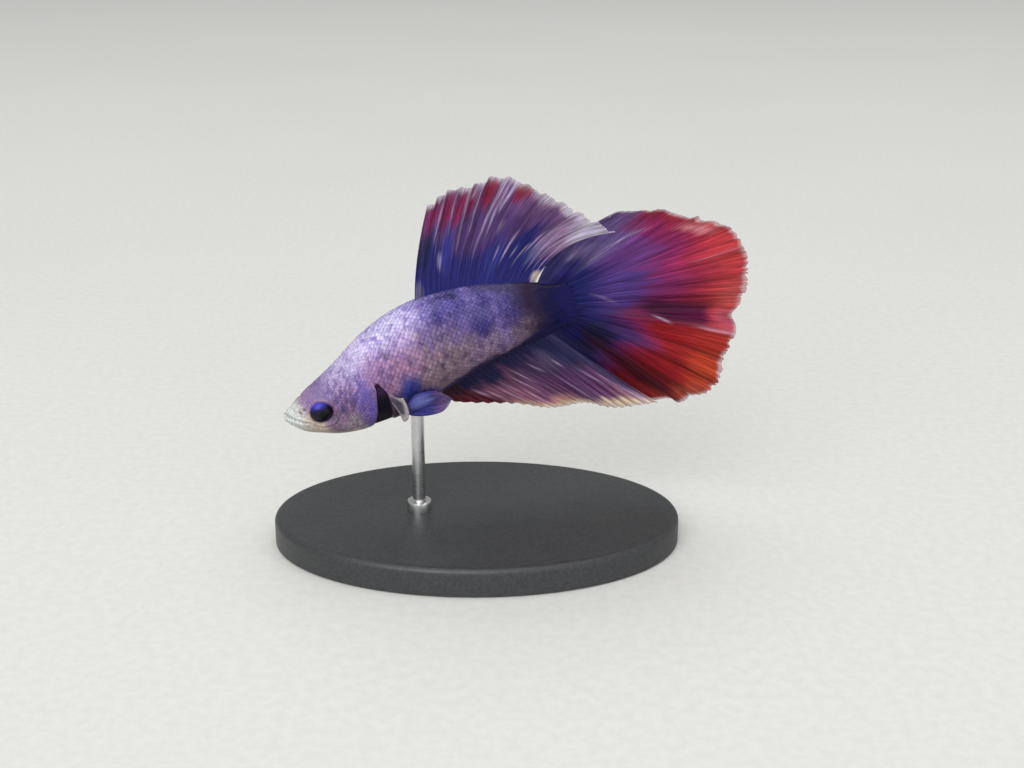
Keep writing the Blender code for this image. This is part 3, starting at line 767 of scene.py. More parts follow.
def add_scales(plain, shaped):
    """Overlapping plates that follow the skin, rooted in it in front and standing off it behind."""
    draw = np.random.default_rng(11)
    places = skin_places()[0]
    posed = place(shaped)
    normals = surface_normals(posed)
    root = scale_places()
    root[:, :2] += draw.uniform(-0.05, 0.05, (len(root), 2)) * root[:, 2:]
    lift = np.where(root[:, 0] < HEAD_SCALES_TO, SCALE_LIFT_HEAD, SCALE_LIFT_BODY)
    lift = lift * draw.uniform(0.8, 1.2, len(root))
    shade = draw.uniform(0, 1, len(root))

    def grid_place(x, angle):
        return np.interp(x, places, np.arange(len(places))), angle / math.tau % 1 * SKIN_COLUMNS

    seen = read_grid(plain, *grid_place(root[:, 0] + 0.5 * root[:, 2], root[:, 1]))
    keep = ~bare(seen[:, 0], seen[:, 2])
    root, lift, shade, seen = root[keep], lift[keep], shade[keep], seen[keep]
    shine = ease((height_share(seen[:, 0], seen[:, 2]) - 0.45) / 0.4) * before(seen[:, 0], 0.86, 0.08)
    shine = shine * draw.uniform(0.3, 1, len(seen))

    rows, columns = SCALE_GRID
    along = (1 - (1 - np.linspace(0, 1, rows)) ** 1.4)[None, :, None]
    across = np.linspace(-1, 1, columns)[None, None, :]
    taper = (0.8 + 0.2 * ease(along / 0.4)) * (1 - 0.8 * ease((along - 0.5) / 0.5) ** 1.6)
    x0, angle0, step, spacing = (column[:, None, None] for column in root.T)
    x = x0 + SCALE_LENGTH * step * (along - 0.5 - 0.08 * along * across**2)
    spot = grid_place(x, angle0 + SCALE_WIDTH * spacing / 2 * across * taper)
    on_skin, out, straight = read_grid(posed, *spot), unit(read_grid(normals, *spot)), read_grid(plain, *spot)
    height = lift[:, None, None] * along**1.3 + 0.0006 * (1 - across**2) - SCALE_ROOT_DEPTH
    top = on_skin + out * height[..., None] * LENGTH
    points = np.stack([top, top - out * SCALE_THICKNESS * LENGTH], axis=1)
    one = slab_faces(rows, columns)[:, ::-1]

    share = (root[:, 0] - SNOUT_TIP) / (1 + SHEATH_LENGTH - SNOUT_TIP), root[:, 1] / math.tau % 1
    corner = UV_FROM + (UV_TO - UV_FROM) * np.stack(share, -1)
    local = np.stack(np.broadcast_arrays(along[0] - 0.5, across[0] / 2), -1) * SCALE_PATCH
    whole = (len(root), 2, rows, columns)
    fields = {
        "shade": np.broadcast_to(shade[:, None, None, None], whole),
        "shine": np.broadcast_to(shine[:, None, None, None], whole),
        "along": np.broadcast_to(along[None], whole),
        "across": np.broadcast_to(np.abs(across)[None], whole),
        "tint": np.stack([(body_tint(straight) + body_tint(seen)[:, None, None]) / 2] * 2, axis=1),
        "straight": np.stack([straight] * 2, axis=1),
        "uv": np.broadcast_to(corner[:, None, None, None] + local, (*whole, 2)),
    }
    material = scale_material()
    is_left = seen[:, 1] < 0
    for stretch, start, end in SCALE_STRETCHES:
        for side, on_side in (("left", is_left), ("right", ~is_left)):
            part = on_side & (root[:, 0] >= start) & (root[:, 0] < end)
            first = 2 * rows * columns * np.arange(part.sum())[:, None, None]
            own = {key: values[part] for key, values in fields.items()}
            faces, uv = (one + first).reshape(-1, 4), own.pop("uv")
            make_piece(f"scales_{stretch}_{side}", points[part], faces, material, own, uv)


# --- Fins ---------------------------------------------------------------------------------------
STREAK, MARGIN = (0.62, 0.5, 0.74), (0.66, 0.54, 0.6)
FIN_ROOTS_INSIDE = (-0.06, -0.03)  # rings of a fin inside the body
FRINGE_FROM = 0.8  # where the uneven edge starts to pull on a ray
# Half thickness of the membrane, and what a ray adds to it: in the single fins, and in the pairs
MEMBRANE, RAY = 0.0013, 0.002
PAIR_MEMBRANE, PAIR_RAY = 0.001, 0.0009
RAY_WIDTH = 0.0028


def fan(roots, ray_table, fold_table, r, trim):
    """Points of a fin whose rays grow from its roots and turn from their root to their tip angle."""
    a = np.linspace(0, 1, len(roots))[:, None]
    root, tip = (np.radians(curve(ray_table, a, column)) for column in (2, 3))
    reach = r[None, :] - trim * ease((r[None, :] - FRINGE_FROM) / (1 - FRINGE_FROM))
    angle = root + (tip - root) * (r[1:] + r[:-1])[None, :] / 2
    step = curve(ray_table, a, 1) * np.diff(reach, axis=1)
    root_column = int(np.argmin(np.abs(r)))

    def run(start, direction):
        path = np.hstack([0 * a, np.cumsum(step * direction, axis=1)])
        return start + path - path[:, [root_column]]

    x, z = run(roots[:, :1], np.cos(angle)), run(roots[:, 1:], np.sin(angle))
    y = curve(fold_table, a, 1) * reach.clip(0) ** FOLD_GROWTH
    return np.stack([x, y, z], axis=-1)


def branching(a, r, count, forks, width):
    """1 on a ray and 0 between rays. Each ray forks in two at each place in forks."""
    cell = a * count
    share = cell - np.floor(cell)
    strength = np.zeros(np.broadcast(a, r).shape)
    apart = [0.25 / 2**level * ease((r - fork) / (1 - fork) * 1.3) for level, fork in enumerate(forks)]
    for branch in range(2 ** len(forks)):
        middle = 0.5
        for level, reach in enumerate(apart):
            middle = middle + reach * (1 if branch >> level & 1 else -1)
        strength = np.maximum(strength, bell(share - middle, width))
    return strength


def sheet_piece(name, middle, half, material, across, out, ray, fields):
    """A closed thin sheet over a grid of straight points, with its half thickness at each."""
    fields = {"across": across, "out": out, "ray": ray, **fields}
    normal = grid_normals(middle) * half[..., None]
    rows, columns = middle.shape[:2]
    u, v = np.meshgrid(np.linspace(0.01, 0.49, rows), np.linspace(0.01, 0.99, columns), indexing="ij")
    uv = np.stack([np.stack([u, v], -1), np.stack([u + 0.5, v], -1)])
    doubled = {key: np.stack([value, value]) for key, value in fields.items()}
    points = place(np.stack([middle + normal, middle - normal]))
    piece = make_piece(f"{name}_membrane", points, slab_faces(rows, columns), material, doubled, uv)
    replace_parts(piece, name)


def fin_material(name, streak_across):
    """Fin membrane: markings and pale streaks run with the rays, light shines through, the edge is clear."""
    g = Graph(name)
    across, out = g.times(g.field("across"), streak_across), g.times(g.field("out"), 2.2)
    run = g.node("CombineXYZ", {0: across, 1: out})
    streak, fine = g.noise(run, 1.0, 4.0, 0.6), g.noise(g.scaled(run, 3.1), 1.0, 3.0, 0.6)
    shade = g.times(g.span(streak, 0.32, 0.7, 0.62, 1.38), g.spread(fine, 0.84, 1.16))
    tint = g.scaled(g.field("tint", "Color"), shade)
    colour = g.colour_mix(g.times(g.field("ray"), g.field("ray_glow")), tint, g.scaled(tint, 1.9))
    normal = g.bump(g.plus(g.times(streak, 0.6), g.times(fine, 0.4)), 0.00008, 0.7)
    surface = g.principled(
        Base_Color=colour, Roughness=g.spread(fine, 0.42, 0.6), Specular_IOR_Level=0.18,
        Alpha=g.math("SUBTRACT", 1.0, g.field("clear")), Normal=normal,
    )
    through = g.node("BsdfTranslucent", {"Color": colour, "Normal": normal})
    return g.finish(g.node("MixShader", {"Fac": 0.25, 1: surface, 2: through}))


def streaks(a, r, table):
    """Soft lines along a fin. Each goes from one place across and out to another, with a width and weight."""
    total = np.zeros(np.broadcast(a, r).shape)
    for a0, r0, a1, r1, width, weight in table:
        share = (r - r0) / (r1 - r0)
        line = a0 + (a1 - a0) * np.clip(share, 0, 1)
        outer = 1.0 if r1 > 0.93 else ease((1 - share) / 0.45)
        drawn = bell(a - line, width * (0.55 + 0.6 * np.clip(share, 0, 1)))
        total = np.maximum(total, weight * ease(share / 0.45) * outer * drawn)
    return total


def fin_grid(columns, rows):
    """Places across a fin and out along it, closer together towards its edge."""
    a = np.linspace(0, 1, columns)[:, None]
    r = np.concatenate([FIN_ROOTS_INSIDE, 1 - (1 - np.linspace(0, 1, rows - 2)) ** 1.25])
    return a, r


def fringe(a, seed, teeth, depth, tears):
    """How much each place across a fin falls short of its full length: uneven teeth and a few tears."""
    def wave(across, number):
        return rough(np.stack([a[:, 0] * across, 0 * a[:, 0] + seed, 0 * a[:, 0]], -1), 1.0, number, 3)

    cell = a[:, 0] * teeth + 0.9 * wave(teeth * 0.35, 1)
    tooth = np.abs(2 * (cell - np.floor(cell)) - 1) ** 1.3
    size = (0.55 + 0.9 * wave(teeth * 0.22, 2)).clip(0.1, 1.3)
    lobes = (wave(7.0, 3) + 0.5).clip(0, 1.5)
    short = depth * (0.5 * tooth * size + 0.55 * lobes)
    for at, wide, deep in tears:
        short = short + deep * bell(a[:, 0] - at, wide)
    return short[:, None]


def add_fin(name, size, roots, rays, folds, trim, ray_count, forks, pleat, markings, pale_lines, dark_lines,
            clear_table, streak_across, margin_table=((0, 1), (1, 1))):
    """A fin with its rays, pleats, markings and clear edge, as one closed sheet."""
    a, r = fin_grid(*size)
    points = fan(roots(a[:, 0]), rays, folds, r, fringe(a, *trim))
    across, out = np.broadcast_arrays(a, r[None, :])
    warp = np.stack([across * 6, out * 1.6, 0 * out], -1)
    wander = rough(warp * (2.2, 1.3, 1), 1.0, len(name), 4)
    spread = across + 0.1 / ray_count * rough(warp, 1.0, len(name) + 5, 3)
    spacing = np.linalg.norm(np.gradient(points, axis=0), axis=-1) * (len(a) - 1) / ray_count
    width = np.clip(RAY_WIDTH * (1 - 0.45 * out) / spacing, 0.012, 0.16)
    ray = branching(spread, out, ray_count, forks, width) * (out > -0.05)
    wave = np.sin(math.tau * (spread * ray_count - 0.25)) * pleat * out.clip(0) ** 1.2
    wave += np.sin(2 * math.tau * spread * ray_count) * pleat * 0.35 * out.clip(0) ** 3
    points = points + grid_normals(points) * wave[..., None]
    half = MEMBRANE * (1 - 0.35 * out) + RAY * ray * (1 - 0.6 * out)
    paint = markings(across, out, wander).lay(0.35, streaks(across, out, dark_lines))
    broken = 0.88 + 0.5 * rough(np.stack([across * 90, out * 3, 0 * out], -1), 1.0, 4, 3)
    # Pale streaks; on the tail fin some of them are painted highlights on its folds
    light = np.clip(streaks(across + 0.004 * wander, out, pale_lines) * broken, 0, 1)
    margin = curve(margin_table, across, 1)
    paint.lay(STREAK, light).lay(MARGIN, 0.55 * margin * past(out + 0.02 * wander, 0.985, 0.03))
    clear = curve(clear_table, np.clip(out + 0.03 * wander, 0, 1), 1) * (1 - 0.5 * ray) * (0.3 + 0.7 * margin)
    fields = {"tint": paint.tint, "ray_glow": 0.3 + 0.3 * light, "clear": clear}
    sheet_piece(name, points, half, fin_material(name, streak_across), across, out, ray, fields)


# --- Caudal fin ---------------------------------------------------------------------------------
NAVY_END = ((0, 0.3), (0.1, 0.36), (0.25, 0.27), (0.42, 0.21), (0.6, 0.2), (0.8, 0.24), (1, 0.34))
RED_FROM = ((0, 0.5), (0.1, 0.42), (0.2, 0.4), (0.245, 0.5), (0.3, 0.4), (0.4, 0.36), (0.5, 0.45),
            (0.62, 0.47), (0.72, 0.51), (0.8, 0.6), (0.88, 0.7), (0.96, 0.76), (1, 0.8))
# Where the painted shadow of the fold between the two lobes runs: place out along the fin, and place across
# it
VALLEY_SHADOW_LINE = ((0.0, 0.56), (0.35, 0.475), (0.55, 0.427), (0.75, 0.415), (0.95, 0.42), (1.1, 0.43))

# Place across and out, half sizes, softness, strength, and a colour, or a factor on what is there
CAUDAL_RED_SPOTS = (
    ((0.17, 0.97), (0.1, 0.16), 0.6, 0.6, (0.56, 0.078, 0.026)),
    ((0.325, 0.88), (0.04, 0.16), 0.8, 0.7, (0.46, 0.034, 0.03)),
    ((0.5, 0.97), (0.06, 0.12), 0.8, 0.6, (0.6, 0.13, 0.11)),
    ((0.79, 0.9), (0.034, 0.07), 0.8, 0.9, (0.64, 0.24, 0.28)),
    # Painted shade: the blackish band low on the fin, where it turns away into shade near the anal fin
    ((0.08, 0.6), (0.05, 0.4), 0.5, 0.96, (0.05, 0.003, 0.012)),
    ((0.4, 0.48), (0.03, 0.16), 0.8, 0.6, (0.1, 0.005, 0.022)),
    ((0.155, 0.62), (0.045, 0.27), 0.7, 0.8, (0.16, 0.004, 0.01)),
)
CAUDAL_EDGE_SPOTS = (
    ((0.985, 0.45), (0.035, 0.5), 0.5, 0.9, (0.05, 0.042, 0.17)),
    ((0.955, 0.46), (0.025, 0.14), 0.8, 0.6, (0.17, 0.12, 0.3)),
    ((0.412, 0.95), (0.024, 0.09), 0.8, 0.7, (0.42, 0.1, 0.17)),
)
CAUDAL_SHADES = (
    ((0.235, 0.78), (0.03, 0.22), 0.8, 1, 0.8),
    *alike(1.32, 0.8, (0.325, 0.76, 0.03, 0.14, 1), (0.165, 0.72, 0.035, 0.13, 1),
           (0.405, 0.74, 0.025, 0.12, 1), (0.8, 0.76, 0.1, 0.14, 1), (0.69, 0.6, 0.06, 0.1, 1)),
    ((0.145, 0.97), (0.04, 0.09), 0.8, 0.4, (0.52, 0.14, 0.1)),
    ((0.905, 0.48), (0.03, 0.26), 0.8, 0.5, (0.26, 0.2, 0.42)),
)


def caudal_tint(a, r, wander):
    """Navy root, violet middle and red outer part, with painted shadow in the fold valley between its two
    lobes.
    """
    r = r + 0.06 * wander
    red_from = curve(RED_FROM, a, 1)
    paint = Paint(a, r, (0.09, 0.044, 0.24))
    lay, spot = paint.lay, paint.spot
    lay((0.06, 0.02, 0.12), before(a, 0.46, 0.12))
    spot((0.8, 0.58), (0.09, 0.22), 0.7, 0.9, (0.2, 0.055, 0.27))
    lay((0.016, 0.018, 0.14), before(r, curve(NAVY_END, a, 1), 0.2))
    # Painted shade on the lower part near the root, where the fin lies in shade next to the anal fin
    lay((0.008, 0.006, 0.036), before(r, 0.3, 0.16) * before(a, 0.27, 0.14))
    lay((0.005, 0.004, 0.046), before(r, 0.1, 0.12) * before(a, 0.45, 0.3))
    lay((0.006, 0.005, 0.072), 0.85 * before(r, 0.07, 0.1))
    lay((0.22, 0.02, 0.115), past(r, red_from, 0.18))
    lay((0.32, 0.02, 0.062), past(r, red_from + 0.17, 0.22))
    lay((0.52, 0.046, 0.056), past(r, red_from + 0.32, 0.22))
    lower = before(a, 0.385, 0.03)
    lay((0.33, 0.012, 0.018), lower * past(r, red_from + 0.1, 0.2))
    lay((0.5, 0.036, 0.018), lower * past(r, 0.82, 0.22))
    paint.spots(CAUDAL_RED_SPOTS)
    # Painted shadow in the deep fold between the lobes, darkest along its middle line
    valley = curve(VALLEY_SHADOW_LINE, r, 1)
    aside = (a - valley) / np.where(a > valley, 0.064, 0.038)
    depth = ease((r - 0.34) / 0.16) * ease((0.92 - r) / 0.16)
    lay((0.055, 0.004, 0.032), 0.97 * depth * np.exp(-(aside**4)))
    paint.spots(CAUDAL_EDGE_SPOTS)
    lay((0.016, 0.014, 0.07), before(a, 0.025, 0.03) * before(r, 0.5, 0.25))
    lay((0.15, 0.006, 0.014), before(a, 0.04, 0.05) * past(r, 0.55, 0.25))
    lay((0.16, 0.105, 0.28), 0.85 * past(a, 0.935, 0.05) * past(r, 0.58, 0.2))
    return paint.spots(CAUDAL_SHADES)


# Pale streaks on the tail fin. The first three are painted highlights: one across the lower lobe's fold, two
# along the ridge of the lower lobe below the shaded valley
CAUDAL_STREAKS_AND_HIGHLIGHTS = (
    (0.64, 0.12, 0.47, 0.31, 0.018, 0.28), (0.405, 0.48, 0.374, 0.63, 0.005, 0.75),
    (0.382, 0.7, 0.376, 1, 0.006, 0.35), (0.925, 0.34, 0.87, 0.84, 0.006, 0.4),
    (0.905, 0.24, 0.9, 0.48, 0.01, 0.25), (0.965, 0.2, 0.95, 0.55, 0.01, 0.25),
    (0.685, 0.62, 0.69, 0.98, 0.003, 0.2), (0.54, 0.62, 0.52, 1, 0.003, 0.15),
)
CAUDAL_DARK_LINES = (
    (0.205, 0.28, 0.215, 0.96, 0.006, 0.7), (0.278, 0.26, 0.272, 0.96, 0.006, 0.8),
    (0.69, 0.22, 0.64, 0.5, 0.008, 0.8), (0.73, 0.3, 0.72, 0.9, 0.006, 0.5),
    (0.63, 0.5, 0.64, 0.92, 0.005, 0.4), (0.8, 0.4, 0.78, 0.8, 0.006, 0.4),
    (0.56, 0.3, 0.5, 0.62, 0.006, 0.5), (0.14, 0.4, 0.15, 0.95, 0.005, 0.5),
    (0.33, 0.45, 0.325, 0.98, 0.004, 0.4),
)
CAUDAL_TEARS = (  # place across the fin, width and depth
    (0.425, 0.02, 0.03), (0.34, 0.008, 0.02), (0.595, 0.01, 0.02), (0.8, 0.014, 0.04), (0.14, 0.02, 0.05),
)


def caudal_roots(a):
    """Where the tail fin's rays start: up across the stalk's end, and forward along its edges."""
    up = np.clip((a - CAUDAL_CORNER) / (1 - 2 * CAUDAL_CORNER), 0, 1)
    forward = ease(1 - np.minimum(a, 1 - a) / CAUDAL_CORNER)
    x = 1 + GAP - (1 + GAP - CAUDAL_FROM) * forward
    low, high = belly(x) - GAP * forward, back(x) + GAP * forward
    return np.stack([x, low + (high - low) * up], axis=-1)


def add_caudal_fin():
    add_fin("caudal_fin", (520, 88), caudal_roots, CAUDAL_RAYS, CAUDAL_FOLDS, (3, 60, 0.03, CAUDAL_TEARS),
            ray_count=13, forks=(0.22, 0.52), pleat=0.006, markings=caudal_tint, pale_lines=CAUDAL_STREAKS_AND_HIGHLIGHTS,
            dark_lines=CAUDAL_DARK_LINES, clear_table=((0, 0), (0.88, 0.02), (0.97, 0.2), (1, 0.6)),
            streak_across=150)


# --- Dorsal fin ---------------------------------------------------------------------------------
BLUE_END = ((0, 0.4), (0.1, 0.52), (0.2, 0.46), (0.32, 0.34), (0.45, 0.28), (0.57, 0.4), (0.66, 0.42),
            (0.74, 0.66), (0.8, 0.42), (0.88, 0.3), (1, 0.25))


def edge_roots(base, edge, gap):
    """Where the rays of a fin along the back or the belly start."""
    def roots(a):
        x = base[0] + (base[1] - base[0]) * a
        return np.stack([x, edge(x) + gap], -1)

    return roots


DORSAL_BLUE_SPOTS = (
    ((0.245, 0.38), (0.035, 0.2), 0.7, 0.9, (0.06, 0.06, 0.36)),
    ((0.595, 0.25), (0.04, 0.2), 0.7, 0.8, (0.05, 0.06, 0.32)),
    ((0.065, 0.44), (0.05, 0.22), 0.6, 0.9, (0.025, 0.028, 0.09)),
)
DORSAL_RED_SPOTS = alike(
    (0.27, 0.02, 0.095), 0.6, (0.07, 0.82, 0.03, 0.18, 0.9), (0.185, 0.8, 0.03, 0.18, 0.9),
    (0.27, 0.82, 0.024, 0.18, 0.9), (0.335, 0.84, 0.018, 0.18, 0.9),
) + alike((0.33, 0.022, 0.07), 0.5, (0.435, 0.88, 0.026, 0.16, 0.95), (0.575, 0.965, 0.036, 0.13, 0.95))
DORSAL_REAR_SPOTS = (
    ((0.84, 0.36), (0.03, 0.14), 0.8, 0.55, (0.22, 0.24, 0.52)),
    ((0.355, 0.95), (0.016, 0.1), 0.8, 0.6, (0.4, 0.3, 0.46)),
)
DORSAL_ROOT_SPOTS = (
    ((0, 0.02), (0.07, 0.1), 0.6, 0.7, (0.22, 0.19, 0.3)),
    # A cream spot at the base of the last ray, painted as a highlight
    ((0.975, 0.055), (0.034, 0.06), 0.6, 1, (0.64, 0.52, 0.5)),
)


def dorsal_tint(a, r, wander):
    """Blue root, violet middle, crimson tips in front, and a pale pink and white rear."""
    r = r + 0.06 * wander
    paint = Paint(a, r, (0.115, 0.058, 0.21))
    lay = paint.lay
    lay((0.03, 0.03, 0.2), before(r, curve(BLUE_END, a, 1), 0.24))
    lay((0.21, 0.048, 0.16), past(r, 0.7, 0.24) * before(a, 0.5, 0.1))
    lay((0.2, 0.095, 0.25), past(r, 0.72, 0.3) * past(a, 0.56, 0.12))
    paint.spots(DORSAL_BLUE_SPOTS, DORSAL_RED_SPOTS)
    lay((0.34, 0.2, 0.36), 0.9 * past(a, 0.81, 0.08) * past(r, 0.4, 0.25))
    lay((0.42, 0.24, 0.4), 0.7 * past(a, 0.62, 0.1) * past(r, 0.9, 0.14))
    lay((0.62, 0.58, 0.7), past(a + 0.35 * (r - 0.8), 0.89, 0.12) * past(r, 0.56, 0.3))
    lay((0.62, 0.58, 0.68), 0.8 * past(r, 0.92, 0.1) * past(a, 0.64, 0.1))
    paint.spots(DORSAL_REAR_SPOTS)
    on_red = patch(a, r, (0.575, 1.0), (0.045, 0.12), 0.5)
    lay((0.55, 0.5, 0.62), 0.8 * past(r, 0.97, 0.08) * (1 - 0.8 * on_red))
    return paint.spots(DORSAL_ROOT_SPOTS)


DORSAL_STREAKS = (
    (0.125, 0.45, 0.145, 1, 0.008, 0.75), (0.16, 0.3, 0.14, 0.7, 0.006, 0.4),
    (0.205, 0.16, 0.19, 0.42, 0.016, 0.6), (0.235, 0.45, 0.225, 0.98, 0.006, 0.55),
    (0.32, 0.25, 0.305, 0.95, 0.01, 0.7), (0.385, 0.3, 0.375, 0.98, 0.006, 0.5),
    (0.45, 0.18, 0.49, 1, 0.009, 0.85), (0.502, 0.35, 0.506, 0.99, 0.008, 0.7),
    (0.515, 0.62, 0.535, 0.99, 0.008, 0.8), (0.562, 0.44, 0.558, 0.66, 0.009, 0.6),
    (0.602, 0.18, 0.606, 0.4, 0.005, 0.75), (0.648, 0.14, 0.668, 0.6, 0.008, 0.85),
    (0.7, 0.24, 0.715, 0.44, 0.006, 0.55), (0.742, 0.12, 0.775, 0.5, 0.006, 0.55),
    (0.772, 0.26, 0.8, 0.72, 0.007, 0.6), (0.808, 0.28, 0.84, 0.85, 0.008, 0.8),
    (0.862, 0.3, 0.89, 0.9, 0.008, 0.8), (0.33, 0.8, 0.355, 1, 0.012, 0.55),
    (0.893, 0.17, 0.94, 0.95, 0.009, 0.7), (0.945, 0.3, 0.965, 0.9, 0.01, 0.45),
    (0.868, 0.1, 0.885, 0.42, 0.006, 0.45), (0.918, 0.08, 0.925, 0.5, 0.006, 0.6),
    (0.955, 0.05, 0.965, 0.62, 0.006, 0.6), (0.985, 0.05, 0.985, 0.98, 0.008, 0.45),
)
DORSAL_DARK_LINES = (
    (0.012, 0, 0.01, 0.92, 0.012, 0.8), (0.175, 0.4, 0.17, 0.92, 0.005, 0.6),
    (0.26, 0.5, 0.255, 0.95, 0.004, 0.5), (0.345, 0.35, 0.345, 0.92, 0.006, 0.6),
    (0.415, 0.25, 0.415, 0.75, 0.008, 0.7), (0.48, 0.3, 0.46, 0.6, 0.005, 0.4),
    (0.545, 0.2, 0.55, 0.5, 0.007, 0.5), (0.685, 0.15, 0.69, 0.5, 0.008, 0.6),
    (0.76, 0.12, 0.76, 0.6, 0.01, 0.6), (0.825, 0.2, 0.84, 0.45, 0.006, 0.5),
)


def add_dorsal_fin():
    at, wide, longer = DORSAL_CREST
    trim = (5, 40, 0.024, ((0.045, 0.015, 0.02), (at, wide, -longer)))
    add_fin("dorsal_fin", (380, 80), edge_roots(DORSAL_BASE, back, GAP), DORSAL_RAYS, DORSAL_FOLDS, trim,
            ray_count=12, forks=(0.3, 0.62), pleat=0.005, markings=dorsal_tint, pale_lines=DORSAL_STREAKS,
            dark_lines=DORSAL_DARK_LINES, clear_table=((0, 0), (0.8, 0.02), (0.93, 0.25), (1, 0.65)),
            streak_across=110)


# --- Anal fin -----------------------------------------------------------------------------------
ANAL_NAVY_END = (
    (0, 0.05), (0.1, 0.3), (0.3, 0.26), (0.5, 0.16), (0.6, 0.26), (0.7, 0.18), (0.85, 0.26), (1, 0.4),
)
CREAM_FROM = ((0, 1.2), (0.12, 1.15), (0.22, 0.97), (0.4, 0.88), (0.6, 0.95), (0.8, 0.9), (1, 0.9))
ANAL_PINK_SPOTS = (
    ((0.3, 0.7), (0.15, 0.34), 0.6, 0.9, (0.31, 0.13, 0.2)),
    ((0.75, 0.56), (0.2, 0.26), 0.6, 0.9, (0.11, 0.04, 0.135)),
)
ANAL_BLUE_SPOTS = (
    ((0.86, 0.25), (0.1, 0.1), 0.8, 0.6, (0.035, 0.036, 0.115)),
    ((0.76, 0.26), (0.06, 0.1), 0.8, 0.7, (0.1, 0.075, 0.15)),
)


def anal_tint(a, r, wander):
    """Dark red front edge, navy root, pink-violet middle and a cream margin."""
    r = r + 0.07 * wander
    paint = Paint(a, r, (0.17, 0.065, 0.145))
    lay = paint.lay
    paint.spots(ANAL_PINK_SPOTS)
    lay((0.085, 0.048, 0.14), 0.8 * past(a, 0.55, 0.2) * before(r, 0.45, 0.2))
    lay(0.62, 0.9 * before(r, 0.42, 0.22))
    lay((0.017, 0.015, 0.066), before(r + 0.05 * wander, curve(ANAL_NAVY_END, a, 1), 0.18))
    paint.spots(ANAL_BLUE_SPOTS)
    lay((0.36, 0.16, 0.24), 0.8 * past(a, 0.9, 0.08) * past(r, 0.7, 0.2))
    lay((0.045, 0.04, 0.115), 0.8 * past(a, 0.955, 0.03) * before(r, 0.8, 0.2))
    lay((0.105, 0.015, 0.024), 0.95 * before(a - 0.1 * r, 0.11, 0.06))
    lay((0.03, 0.012, 0.026), 0.9 * before(a, 0.13, 0.06) * before(r, 0.45, 0.3))
    lay((0.58, 0.3, 0.27), 0.8 * past(r, 0.8, 0.16) * past(a, 0.22, 0.1) * before(a, 0.6, 0.2))
    return lay((0.68, 0.54, 0.4), past(r, curve(CREAM_FROM, a, 1), 0.14))


ANAL_STREAKS = tuple(
    (at, start, at + lean, end, 0.009, 0.8 * weight)
    for at, start, end, lean, weight in (
        (0.165, 0.3, 0.7, 0.02, 0.45), (0.215, 0.4, 0.9, 0.02, 0.4), (0.3, 0.25, 0.95, 0.01, 0.45),
        (0.35, 0.22, 0.6, 0.03, 0.4), (0.41, 0.5, 0.95, 0.01, 0.4), (0.45, 0.2, 0.75, 0.04, 0.5),
        (0.505, 0.15, 0.55, 0.04, 0.5), (0.56, 0.45, 0.95, 0.01, 0.4), (0.64, 0.18, 0.42, 0.04, 0.45),
        (0.7, 0.25, 0.95, 0.02, 0.35), (0.77, 0.5, 0.98, 0.02, 0.45), (0.8, 0.22, 0.4, 0.02, 0.45),
        (0.86, 0.35, 0.75, 0.05, 0.4), (0.93, 0.45, 0.98, 0.03, 0.65), (0.975, 0.75, 1, 0, 0.35),
    )
)
ANAL_DARK_LINES = tuple(
    (at, 0.25, at + 0.03, 0.92, 0.006, 0.55)
    for at in (0.13, 0.19, 0.255, 0.325, 0.385, 0.43, 0.48, 0.54,
               0.6, 0.665, 0.725, 0.79, 0.845, 0.895, 0.95)
)


def add_anal_fin():
    add_fin("anal_fin", (420, 64), edge_roots(ANAL_BASE, belly, -GAP), ANAL_RAYS, ANAL_FOLDS,
            (9, 50, 0.022, ((0.4, 0.1, 0.03),)), ray_count=24, forks=(0.45,), pleat=0.004,
            markings=anal_tint, pale_lines=ANAL_STREAKS, dark_lines=ANAL_DARK_LINES,
            clear_table=((0, 0), (0.85, 0.02), (0.95, 0.2), (1, 0.5)), streak_across=130,
            margin_table=((0, 0), (0.15, 0), (0.25, 1), (1, 1)))


# --- Pelvic and pectoral fins -------------------------------------------------------------------
def pelvic_tint(a, r, wander):
    """Blue with a painted highlight along its middle and a violet end."""
    # The pale blue spot is a painted highlight
    paint = Paint(a, r, (0.05, 0.05, 0.27)).spot((0.72, 0.42), (0.2, 0.22), 0.8, 0.9, (0.21, 0.24, 0.62))
    paint.lay((0.16, 0.09, 0.26), past(r + 0.1 * wander, 0.74, 0.3))
    return paint.lay((0.34, 0.26, 0.42), past(r + 0.1 * wander, 0.95, 0.1))


def pectoral_tint(a, r, wander):
    """Clear and dusky, with a pale rim."""
    rim = np.maximum(np.abs(2 * a - 1) + 0.05, r) + 0.06 * wander
    return Paint(a, r, (0.11, 0.095, 0.13)).lay((0.4, 0.36, 0.36), past(rim, 0.74, 0.26))


def add_pair(name, x, y, z, ray_count, markings, clear_table, streak_across):
    """The two fins of a pair, from grids of straight points: across the fin, then outwards."""
    a, r = np.meshgrid(*(np.linspace(0, 1, number) for number in z.shape), indexing="ij")
    wander = rough(np.stack([a * 5, r * 2, 0 * a], -1), 1.0, ray_count, 3)
    ray = branching(a, r, ray_count, (0.45,), 0.1 + 0.05 * (1 - r))
    half = PAIR_MEMBRANE * (1 - 0.4 * r) + PAIR_RAY * ray * (1 - 0.7 * r)
    clear = curve(clear_table, r, 1) * (1 - 0.6 * ray)
    fields = {"tint": markings(a, r, wander).tint, "ray_glow": 0.35 + 0 * a, "clear": clear}
    for side, sign in SIDES.items():
        fin, points = f"{name}_{side}", np.stack(np.broadcast_arrays(x, sign * y, z), -1)
        material = fin_material(fin, streak_across)
        sheet_piece(fin, points, half, material, a, r, ray, fields)


